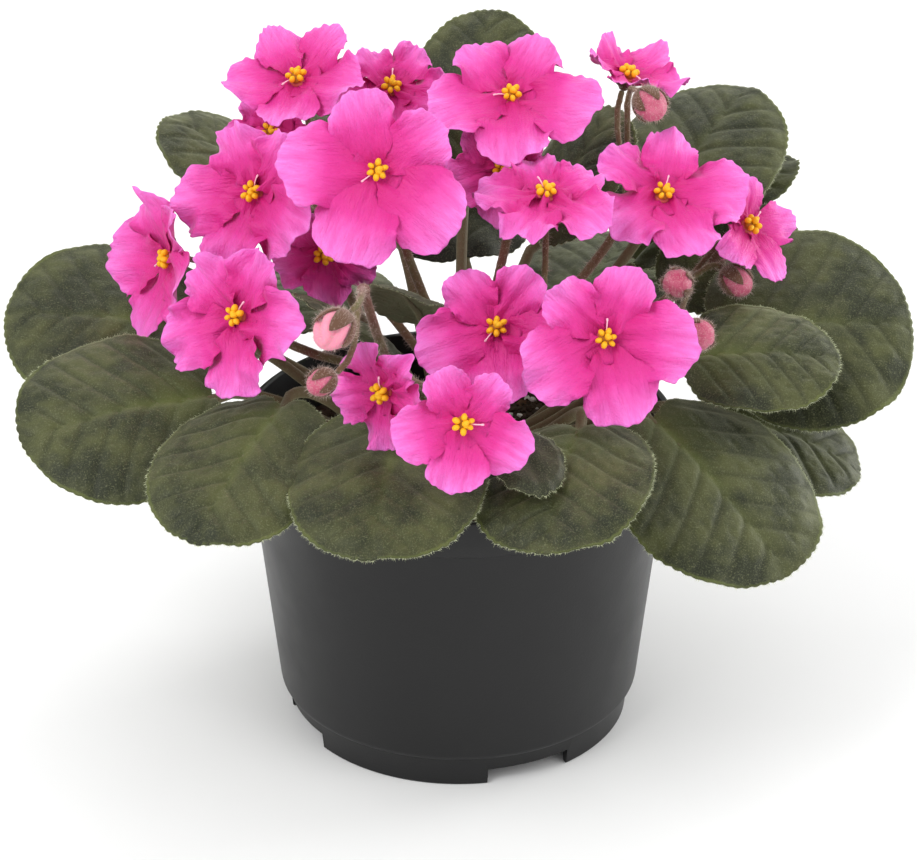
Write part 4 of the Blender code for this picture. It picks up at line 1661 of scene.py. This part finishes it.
@dataclass
class Rosette:
    """All the leaves, with their fringes and coats of hair."""

    kit: GrowthKit
    clothes: Wardrobe
    leaves_to_a_coat: int = 6
    hairs_to_a_square_metre: float = 1.5e6
    fringe_pitch: float = 0.17 * MM
    rims: list[tuple[np.ndarray, np.ndarray]] = field(default_factory=list)

    def build(self) -> None:
        """Build every leaf and its hairs."""
        groups: dict[int, list[bpy.types.Object]] = {}
        for number, plan in enumerate(LEAVES):
            leaf = Leaf(plan, number + 1)
            shift = seat_on(plan.node, leaf.plan_points())
            draft = Draft()
            edge, ways = leaf.blade(draft)
            leaf.stalk(draft)
            piece = draft.build(plan.node + "_blade", [self.clothes.leaf], shift)
            self.rims.append((edge + shift, ways))
            hand_over(piece, [plan.node])
            groups.setdefault(number // self.leaves_to_a_coat, []).append(piece)
        self._grow_fringe()
        for number, pieces in groups.items():
            source = coat_source([(piece, 1.0) for piece in pieces])
            coat = self.kit.grow(f"leaf_hairs_{number + 1}", source, self.kit.coat, {
                "Density": self.hairs_to_a_square_metre, "Length": 0.70 * MM,
                "Root radius": 0.020 * MM, "Lean": 0.9, "Seed": 20 + number,
                "Material": self.clothes.hair})
            hand_over(coat)

    def _grow_fringe(self) -> None:
        """Grow the fringe of longer hairs round every rim."""
        draw = np.random.default_rng(7)
        points, aims = [], []
        for edge, ways in self.rims:
            lengths = np.linalg.norm(np.roll(edge, -1, 0) - edge, axis=1)
            number = int(lengths.sum() / self.fringe_pitch)
            where = np.sort(draw.uniform(0, lengths.sum(), number))
            reach = np.concatenate(((0.0,), np.cumsum(lengths)))
            cell = np.clip(np.searchsorted(reach, where) - 1, 0, len(edge) - 1)
            share = ((where - reach[cell]) / lengths[cell])[:, None]
            after = (cell + 1) % len(edge)
            points.append(edge[cell] * (1 - share) + edge[after] * share)
            aims.append(ways[cell] * (1 - share) + ways[after] * share)
        mesh = bpy.data.meshes.new("rim roots")
        mesh.from_pydata(np.concatenate(points).tolist(), [], [])
        way = mesh.attributes.new("way", "FLOAT_VECTOR", "POINT")
        way.data.foreach_set("vector", np.concatenate(aims).astype(np.float32).ravel())
        fringe = self.kit.grow("leaf_fringe", link_object("rim roots", mesh), self.kit.fringe, {
            "Length": 0.85 * MM, "Root radius": 0.034 * MM, "Lean": 0.6, "Seed": 5,
            "Material": self.clothes.rim_hair})
        hand_over(fringe)


# Flowers.


@dataclass(frozen=True)
class FlowerPlan:
    """One flower: its throat, the way it faces, its petals' reach, cup and spin, and its habit."""

    node: str
    throat: tuple[float, float, float]
    facing: tuple[float, float]
    reach: float
    cup: float
    spin: float
    habit: Habit


FLOWERS = (
    FlowerPlan("flower_01", (-19, -24, 159), (-90, 26), 23.2, 14, -20, Habit.FLAT),
    FlowerPlan("flower_02", (13, 15, 163), (-90, 56), 22, 15, 4, Habit.WAVY),
    FlowerPlan("flower_03", (50, 0, 143), (-72, 54), 20.5, 18, 8, Habit.RUFFLED),
    FlowerPlan("flower_04", (21, -15, 149), (-90, 72), 18, 5, -20, Habit.RUFFLED),
    FlowerPlan("flower_05", (11, 12, 146), (-90, 0), 16, 6, 0, Habit.WAVY),
    FlowerPlan("flower_06", (34, -48, 127), (-86, 22), 21.2, 14, 12, Habit.WAVY),
    FlowerPlan("flower_07", (9, -36, 124), (-92, 32), 19.5, 14, 4, Habit.WAVY),
    FlowerPlan("flower_08", (1, -76, 119), (-86, 18), 16.4, 10, -10, Habit.FLAT),
    FlowerPlan("flower_09", (-52, -34, 126), (-125, 24), 20.5, 17, 20, Habit.RUFFLED),
    FlowerPlan("flower_10", (-49, -8, 147), (-128, 24), 21, 20, 0, Habit.RUFFLED),
    FlowerPlan("flower_11", (-40, 22, 165), (-112, 60), 19, 18, 10, Habit.PINCHED),
    FlowerPlan("flower_12", (-71, -4, 128), (-152, 10), 22, 20, 0, Habit.PINCHED),
    FlowerPlan("flower_13", (-17, -62, 120), (-125, 0), 14.5, 12, 0, Habit.WAVY),
    FlowerPlan("flower_14", (43, 38, 160), (-20, 70), 15, 26, 0, Habit.PINCHED),
    FlowerPlan("flower_15", (72, 7, 132), (-38, 34), 16, 16, 0, Habit.STARRY),
    FlowerPlan("flower_16", (-17, 38, 157), (-90, 50), 16, 12, 0, Habit.RUFFLED),
    FlowerPlan("flower_17", (-33, 0, 128), (-100, 0), 14, 8, 0, Habit.WAVY),
    FlowerPlan("flower_18", (-48, 34, 147), (-92, 20), 13, 10, 0, Habit.WAVY),
)


@dataclass
class Flower:
    """A flower's fine mesh: five petals, the eye, anthers, pistil and calyx."""

    plan: FlowerPlan
    seed: int
    count: int = 33
    petals: int = 5
    throat_radius: float = 2.2 * MM
    anther_height: float = 3.4 * MM
    calyx_depth: float = 3.4 * MM
    upper_size: float = 0.84
    thickness: float = 0.32 * MM
    disc_radius: float = 6.2 * MM
    anthers: int = 8
    outer_anthers: int = 6

    def __post_init__(self) -> None:
        """Work out the flower's axes and draw its random values."""
        self.axes = upright_axes(spherical(*self.plan.facing), self.plan.spin)
        self.throat = np.array(self.plan.throat) * MM
        self.rise = math.tan(math.radians(self.plan.cup))
        self.draw = np.random.default_rng(1000 + self.seed)

    def place(self, local: np.ndarray) -> np.ndarray:
        """Move points from the flower's own axes to the frame's."""
        return self.throat + local @ self.axes

    def plan_points(self) -> np.ndarray:
        """Give the outermost points of the flower's plan.

        Returns:
            The points, one to a row.
        """
        angle = (np.arange(25) - 2) * 14.4 % 360.0
        share = angle / 72.0
        index = np.round(share)
        size = np.where(np.isin(index % self.petals, (2, 3)), self.upper_size, 1.0)
        outer = self.plan.reach * MM * size * (1.0 - 0.42 * (2.0 * np.abs(share - index)) ** 3)
        turn = np.radians(angle - 90.0)
        lift = self.rise * (outer - self.throat_radius) * 0.85
        ring = np.stack((outer * np.cos(turn), outer * np.sin(turn), lift), -1)
        ends = np.array(((0, 0, self.anther_height), (0, 0, -self.calyx_depth)))
        return self.place(np.concatenate((ring, ring - (0, 0, 0.8 * MM), ends)))

    def petal(self, draft: Draft, index: int) -> None:
        """Add one petal.

        Args:
            draft: The draft.
            index: The petal's number; 0 points down, 2 and 3 are the two upper ones.
        """
        habit = self.plan.habit
        upper = index in (2, 3)
        size = (self.upper_size if upper else 1.0) * self.draw.uniform(0.97, 1.04)
        reach = self.plan.reach * MM * size
        root = 0.8 * MM
        half = reach * (0.44 if upper else 0.465) * (1.0 if habit != Habit.STARRY else 0.84)
        phase = 37 * self.seed + 5 * index
        x, y = disc_grid(self.count, habit.fullness)
        angle = np.arctan2(y, x)
        radius = np.sqrt(x * x + y * y)
        edge = np.clip(radius, 0, 1.1) ** 5
        crinkle = 1.0 + edge * (0.045 * waves(angle, phase, (3, 5, 8))
                                + 0.020 * waves(angle, phase + 1, (13, 19, 26)))
        x, y = x * crinkle, y * crinkle
        s = np.clip((x + 1.0) / 2.0, 0.0, 1.05)
        if habit == Habit.PINCHED:
            y = y * (1.0 - 0.25 * smooth_step(0.6, 1.0, s))
        narrow = 0.50 + 0.50 * smooth_step(0.0, 0.60, s)
        roll_side = 1.0 if self.draw.random() < 0.5 else -1.0
        roll_at = self.draw.uniform(0.50, 0.68)
        roll = np.exp(-((s - roll_at) / 0.10) ** 2) * smooth_step(0.55, 0.95, roll_side * y)
        y = y * (1.0 - 0.16 * roll)
        away = root + (reach - root) * s
        aside = half * y * narrow
        flare = smooth_step(0.25, 1.0, radius)
        ruffle = habit.ruffle * flare * waves(angle, phase + 2, (3, int(habit.waves)))
        frill = 0.26 * habit.ruffle * edge * waves(angle, phase + 3, (12, 17, 22))
        pleat = 0.42 * habit.ruffle * waves(3.2 * y + 0.6 * s, phase + 4, (1, 2, 3))
        frill = frill + pleat * smooth_step(0.12, 0.6, s)
        frill = frill + self.draw.uniform(1.2, 2.4) * MM * roll
        lean = self.draw.uniform(0.5, 1.0) * MM * y * smooth_step(0.1, 0.7, s)
        crease = -0.45 * MM * np.exp(-(y / 0.10) ** 2) * smooth_step(0.05, 0.3, s) * (1.1 - s)
        bow = self.draw.uniform(-0.9, 0.5) * MM * y * y * s
        cup = self.rise * np.maximum(away - self.throat_radius, 0.0) * (1.15 - 0.3 * s)
        fold = habit.reflex * smooth_step(0.55, 1.0, s)
        z = cup + ruffle + frill + lean + crease + bow - fold + 0.05 * MM * index
        turn = math.radians(72.0 * index - 90.0 + self.draw.uniform(-3.0, 3.0))
        cos, sin = math.cos(turn), math.sin(turn)
        local = np.stack((away * cos - aside * sin, away * sin + aside * cos, z), -1)
        thin = self.thickness * (1.0 - 0.5 * np.clip(radius, 0, 1) ** 4)
        lower = local - np.stack((np.zeros_like(thin), np.zeros_like(thin), thin), -1)
        number = np.full_like(s, (phase * 0.137) % 1.0)
        rim = np.clip(0.35 * s + 0.65 * np.maximum(s, radius * smooth_step(0.3, 0.8, s)), 0, 1)
        tones = np.stack((rim, 0.5 + 0.5 * y * narrow, number, np.zeros_like(s)), -1)
        backs = tones.copy()
        backs[..., 3] = 1.0
        maps = np.stack((0.5 + 0.5 * y, np.clip(s, 0, 1)), -1)
        draft.sheet(self.place(local), self.place(lower), tones, backs, maps, 0)

    def heart(self, draft: Draft) -> None:
        """Add the eye, the anthers and the pistil.

        Args:
            draft: The draft.
        """
        side, top, normal = self.axes
        x, y = disc_grid(13, 0.0)
        away = np.sqrt(x * x + y * y) * self.disc_radius
        funnel = self.rise * np.maximum(away - self.throat_radius, 0.0) - 0.25 * MM
        disc = np.stack((x * self.disc_radius, y * self.disc_radius, funnel), -1)
        tone = np.stack((away / (25.0 * MM), 0.5 + 0.5 * x, 0.0 * x, 0.0 * x), -1)
        draft.sheet(self.place(disc), self.place(disc - np.array((0, 0, 0.3 * MM))), tone, tone,
                    np.stack((x, y), -1), 0)
        draft.blob(self.place(np.array((0, 0, -0.1 * MM))), self.axes,
                   (2.1 * MM, 2.1 * MM, 0.8 * MM), (0, 0, 0, 0), 1, 6, 16)
        draft.blob(self.place(np.array((0, 0, 1.1 * MM))), self.axes,
                   (1.9 * MM, 1.8 * MM, 1.0 * MM), (0, 0, 0, 0), 3, 6, 14)
        tilt = self.draw.uniform(-25.0, 25.0)
        for number in range(self.anthers):
            turn = 60.0 * number + tilt + self.draw.uniform(-7.0, 7.0)
            angle = math.radians(turn)
            inner = number >= self.outer_anthers
            far = (0.55 if inner else 1.75) * MM * self.draw.uniform(0.9, 1.12)
            height = (2.7 if inner else 2.15) * MM + self.draw.uniform(-0.25, 0.2) * MM
            middle = self.place(np.array((far * math.cos(angle), far * math.sin(angle), height)))
            lobe_axes = np.array((turned(side, normal, turn), turned(top, normal, turn), normal))
            big = self.draw.uniform(0.85, 1.1) * MM
            draft.blob(middle, lobe_axes, (0.95 * big, 0.72 * big, 0.95 * big), (0, 0, 0, 0), 2,
                       7, 12)
        way = self.draw.uniform(0.0, math.tau)
        outward = np.array((math.cos(way), math.sin(way), 0.0))
        t = np.linspace(0.0, 1.0, 9)[:, None]
        lift = (1.4 + 2.6 * t - 1.6 * t * t) * MM
        path = outward * (1.2 + 3.4 * t) * MM + np.array((0, 0, 1.0)) * lift
        radii = np.full(9, 0.16 * MM)
        radii[-2:] = (0.26 * MM, 0.24 * MM)
        draft.tube(self.place(path), radii, 7, (0, 0, 0, 0), 4)

    def calyx(self, draft: Draft) -> None:
        """Add the cup behind the flower and its five pointed sepals.

        Args:
            draft: The draft.
        """
        t = np.linspace(0.0, 1.0, 7)[:, None]
        stem = np.array((0, 0, -1.0)) * t * self.calyx_depth
        radii = np.interp(t[:, 0], (0, 0.35, 0.8, 1.0), (1.7, 1.9, 1.5, 1.0)) * MM
        draft.tube(self.place(stem), radii, 14, (0, 0, 0, 0), 5)
        a, b = np.meshgrid(np.linspace(0, 1, 9), np.linspace(-1, 1, 5), indexing="ij")
        for number in range(5):
            angle = math.radians(72.0 * number - 54.0)
            width = 0.95 * MM * np.sin(np.clip(a * 0.86 + 0.14, 0, 1) * math.pi) ** 0.8
            away = 1.2 * MM + a * 4.6 * MM
            height = -2.6 * MM + 1.4 * MM * a + self.rise * a * 3.0 * MM + 0.35 * MM * b * b
            aside = width * b
            local = np.stack((away * math.cos(angle) - aside * math.sin(angle),
                              away * math.sin(angle) + aside * math.cos(angle), height), -1)
            lower = local - np.array((0, 0, 0.3 * MM))
            tone = np.zeros((*a.shape, 4))
            draft.sheet(self.place(local), self.place(lower), tone, tone,
                        np.stack((0.5 + 0.5 * b, a), -1), 5)


@dataclass
class Blooms:
    """All the flowers."""

    clothes: Wardrobe

    def build(self) -> None:
        """Build every flower."""
        wear = self.clothes
        finishes = [wear.petal, wear.eye, wear.anther, wear.filament, wear.pistil, wear.calyx]
        for number, plan in enumerate(FLOWERS):
            flower = Flower(plan, number + 1)
            shift = seat_on(plan.node, flower.plan_points())
            draft = Draft()
            for index in (0, 2, 4, 1, 3):
                flower.petal(draft, index)
            flower.heart(draft)
            flower.calyx(draft)
            piece = draft.build(plan.node + "_bloom", finishes, shift)
            hand_over(piece, [plan.node])


# Stalks and buds.


@dataclass(frozen=True)
class BudPlan:
    """One bud: the way its tip points and how far it has opened."""

    node: str
    facing: tuple[float, float]
    opened: bool = False


BUDS = (
    BudPlan("bud_01", (-60, -20)),
    BudPlan("bud_02", (-110, 30)),
    BudPlan("bud_03", (-40, -30)),
    BudPlan("bud_04", (60, 10)),
    BudPlan("bud_05", (-60, 20)),
    BudPlan("bud_06", (-140, -30), True),
    BudPlan("bud_07", (-150, -20)),
)


@dataclass
class Bud:
    """A bud's fine mesh: furled petals in a clasping calyx."""

    plan: BudPlan
    seed: int
    stretch: float = 1.15

    def build(self, clothes: Wardrobe) -> bpy.types.Object:
        """Build the bud.

        Args:
            clothes: The finishes.

        Returns:
            The bud.
        """
        low, high = (np.array(corner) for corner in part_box(self.plan.node))
        middle = (low + high) / 2.0
        radius = float(np.cbrt(np.prod((high - low) / 2.0)) / self.stretch ** (1.0 / 3.0))
        axes = upright_axes(spherical(*self.plan.facing), 20.0 * self.seed)
        draft = Draft()
        lat = np.linspace(-math.pi / 2, math.pi / 2, 26)[1:-1][:, None]
        angles = np.linspace(0.0, math.tau, 40, endpoint=False)[None, :]
        swirl = angles + 0.9 * lat
        depth = 0.24 if self.plan.opened else 0.10
        folds = 1.0 - depth * np.abs(np.cos(2.5 * swirl)) ** 6 * smooth_step(-0.9, 0.3, lat)
        flat = np.cos(lat) * radius * 0.96 * folds
        rise = np.sin(lat) * radius * self.stretch * 0.98 + np.zeros_like(angles)
        local = np.stack((flat * np.cos(angles), flat * np.sin(angles), rise), -1)
        slot = 1 if self.plan.opened else 0
        draft.skin(middle + local @ axes, (0, 0, 0, 0), slot)
        self._calyx(draft, middle, axes, radius)
        finishes = [clothes.bud, clothes.bud_petal, clothes.calyx]
        bud = draft.build(self.plan.node + "_furled", finishes)
        hand_over(bud, [self.plan.node])
        return bud

    def _calyx(self, draft: Draft, middle: np.ndarray, axes: np.ndarray, radius: float) -> None:
        """Clasp five sepals round the back of the bud.

        Args:
            draft: The draft.
            middle: The bud's middle.
            axes: Its three unit axes, one to a row.
            radius: Its radius.
        """
        a, b = np.meshgrid(np.linspace(0, 1, 12), np.linspace(-1, 1, 7), indexing="ij")
        reach = 0.45 if self.plan.opened else 0.85
        lat = -math.pi / 2 + 0.12 + a * (math.pi * 0.5 + reach * 0.55)
        for number in range(5):
            turn = math.tau * number / 5.0
            width = 0.44 * np.sin(np.clip(0.2 + 0.8 * a, 0, 1) * math.pi) ** 0.7 + 0.02
            angle = turn + b * width / np.maximum(np.cos(lat), 0.25)
            shells = []
            for swell in (1.075, 1.0):
                flat = np.cos(lat) * radius * swell
                rise = np.sin(lat) * radius * self.stretch * swell
                local = np.stack((flat * np.cos(angle), flat * np.sin(angle), rise), -1)
                shells.append(middle + local @ axes)
            tone = np.zeros((*a.shape, 4))
            draft.sheet(shells[0], shells[1], tone, tone, np.stack((0.5 + 0.5 * b, a), -1), 2)


@dataclass
class Stalks:
    """The flower stalks, rounded from their faceted solids, and the hairs on them and the buds."""

    kit: GrowthKit
    clothes: Wardrobe
    voxel: float = 0.42 * MM
    smoothing: int = 10

    def build(self, buds: Sequence[bpy.types.Object]) -> None:
        """Build the stalks and grow the hairs.

        Args:
            buds: The buds, which are hairy too.
        """
        stalks = [self._round(node) for node in sorted(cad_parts)
                  if node.startswith("flower_stalk_")]
        for name, pieces, density, seed in (("stalk_hairs", stalks, 1.9e6, 61),
                                            ("bud_hairs", buds, 3.2e6, 62)):
            source = coat_source([(piece, 1.0) for piece in pieces])
            coat = self.kit.grow(name, source, self.kit.coat, {
                "Density": density, "Length": 1.25 * MM, "Root radius": 0.032 * MM, "Lean": 0.55,
                "Seed": seed, "Material": self.clothes.stem_hair})
            hand_over(coat)

    def _round(self, node: str) -> bpy.types.Object:
        """Round one stalk from a merged copy of its solid.

        Args:
            node: The solid's name.

        Returns:
            The stalk.
        """
        builder = bmesh.new()
        builder.from_mesh(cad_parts[node].data)
        bmesh.ops.remove_doubles(builder, verts=builder.verts, dist=0.002 * MM)
        mesh = bpy.data.meshes.new(node + "_round")
        builder.to_mesh(mesh)
        builder.free()
        copy = link_object(node + "_round", mesh)
        remesh = copy.modifiers.new("skin", "REMESH")
        remesh.mode = "VOXEL"
        remesh.voxel_size = self.voxel
        smooth = copy.modifiers.new("soften", "SMOOTH")
        smooth.iterations = self.smoothing
        smooth.factor = 0.5
        bpy.context.view_layer.update()
        graph = bpy.context.evaluated_depsgraph_get()
        fine = bpy.data.meshes.new_from_object(copy.evaluated_get(graph))
        copy.modifiers.clear()
        copy.data = fine
        fine.shade_smooth()
        fine.materials.clear()
        fine.materials.append(self.clothes.stem)
        hand_over(copy, [node])
        return copy


# Studio.


@dataclass
class Studio:
    """A plain pale floor, soft lights and the camera."""

    distance: float = 0.7
    elevation: float = 26.8
    target: float = 0.0786
    lens: float = 107.4

    def build(self) -> None:
        """Set up the floor, the lights, the world and the camera."""
        self._floor()
        self._world()
        self._light("key", (-0.75, -0.70, 1.15), 0.8, 12.0)
        self._light("edge", (0.95, 0.50, 0.30), 0.5, 5.0)
        self._light("fill", (0.95, -0.55, 0.75), 1.0, 5.0)
        self._light("rear", (0.1, 0.9, 1.3), 1.2, 6.0)
        self._camera()
        bpy.context.scene.view_settings.view_transform = "Standard"

    @staticmethod
    def _floor() -> None:
        """Lay the floor."""
        mesh = bpy.data.meshes.new("floor")
        half = 4.0
        mesh.from_pydata([(-half, -half, 0.0), (half, -half, 0.0), (half, half, 0.0),
                          (-half, half, 0.0)], [], [(0, 1, 2, 3)])
        mesh.materials.append(Finish("pale floor", (0.93, 0.93, 0.93), 0.9, 0.1).plain())
        link_object("floor", mesh)

    @staticmethod
    def _world() -> None:
        """Fill the room with even white light."""
        world = bpy.data.worlds.new("studio")
        world.use_nodes = True
        back = world.node_tree.nodes["Background"]
        back.inputs["Color"].default_value = (1.0, 1.0, 1.0, 1.0)
        back.inputs["Strength"].default_value = 0.70
        bpy.context.scene.world = world

    @staticmethod
    def _light(name: str, place: tuple[float, float, float], size: float,
               power: float) -> None:
        """Hang one soft square light that faces the plant.

        Args:
            name: The light's name.
            place: Where it hangs.
            size: Its side.
            power: Its power in watts.
        """
        data = bpy.data.lights.new(name, "AREA")
        data.shape = "SQUARE"
        data.size = size
        data.energy = power
        obj = bpy.data.objects.new(name, data)
        obj.location = place
        aim = Vector((0.0, 0.0, 0.1)) - Vector(place)
        obj.rotation_euler = aim.to_track_quat("-Z", "Y").to_euler()
        bpy.context.scene.collection.objects.link(obj)

    def _camera(self) -> None:
        """Place the camera."""
        data = bpy.data.cameras.new("camera")
        data.lens = self.lens
        data.sensor_width = 36.0
        data.clip_start = 0.01
        obj = bpy.data.objects.new("camera", data)
        tilt = math.radians(self.elevation)
        obj.location = (0.0, -self.distance * math.cos(tilt),
                        self.target + self.distance * math.sin(tilt))
        obj.rotation_euler = (math.pi / 2.0 - tilt, 0.0, 0.0)
        bpy.context.scene.collection.objects.link(obj)
        bpy.context.scene.camera = obj


def main() -> None:
    """Build the plant and its studio."""
    logging.basicConfig(level=logging.INFO, format="%(name)s: %(message)s")
    clothes = Wardrobe()
    kit = GrowthKit()
    Studio().build()
    NurseryPot().build(kit, clothes)
    PottingMix().build(kit, clothes)
    Crown().build(clothes)
    Rosette(kit, clothes).build()
    Blooms(clothes).build()
    buds = [Bud(plan, number + 1).build(clothes) for number, plan in enumerate(BUDS)]
    Stalks(kit, clothes).build(buds)


if __name__ == "__main__":
    main()
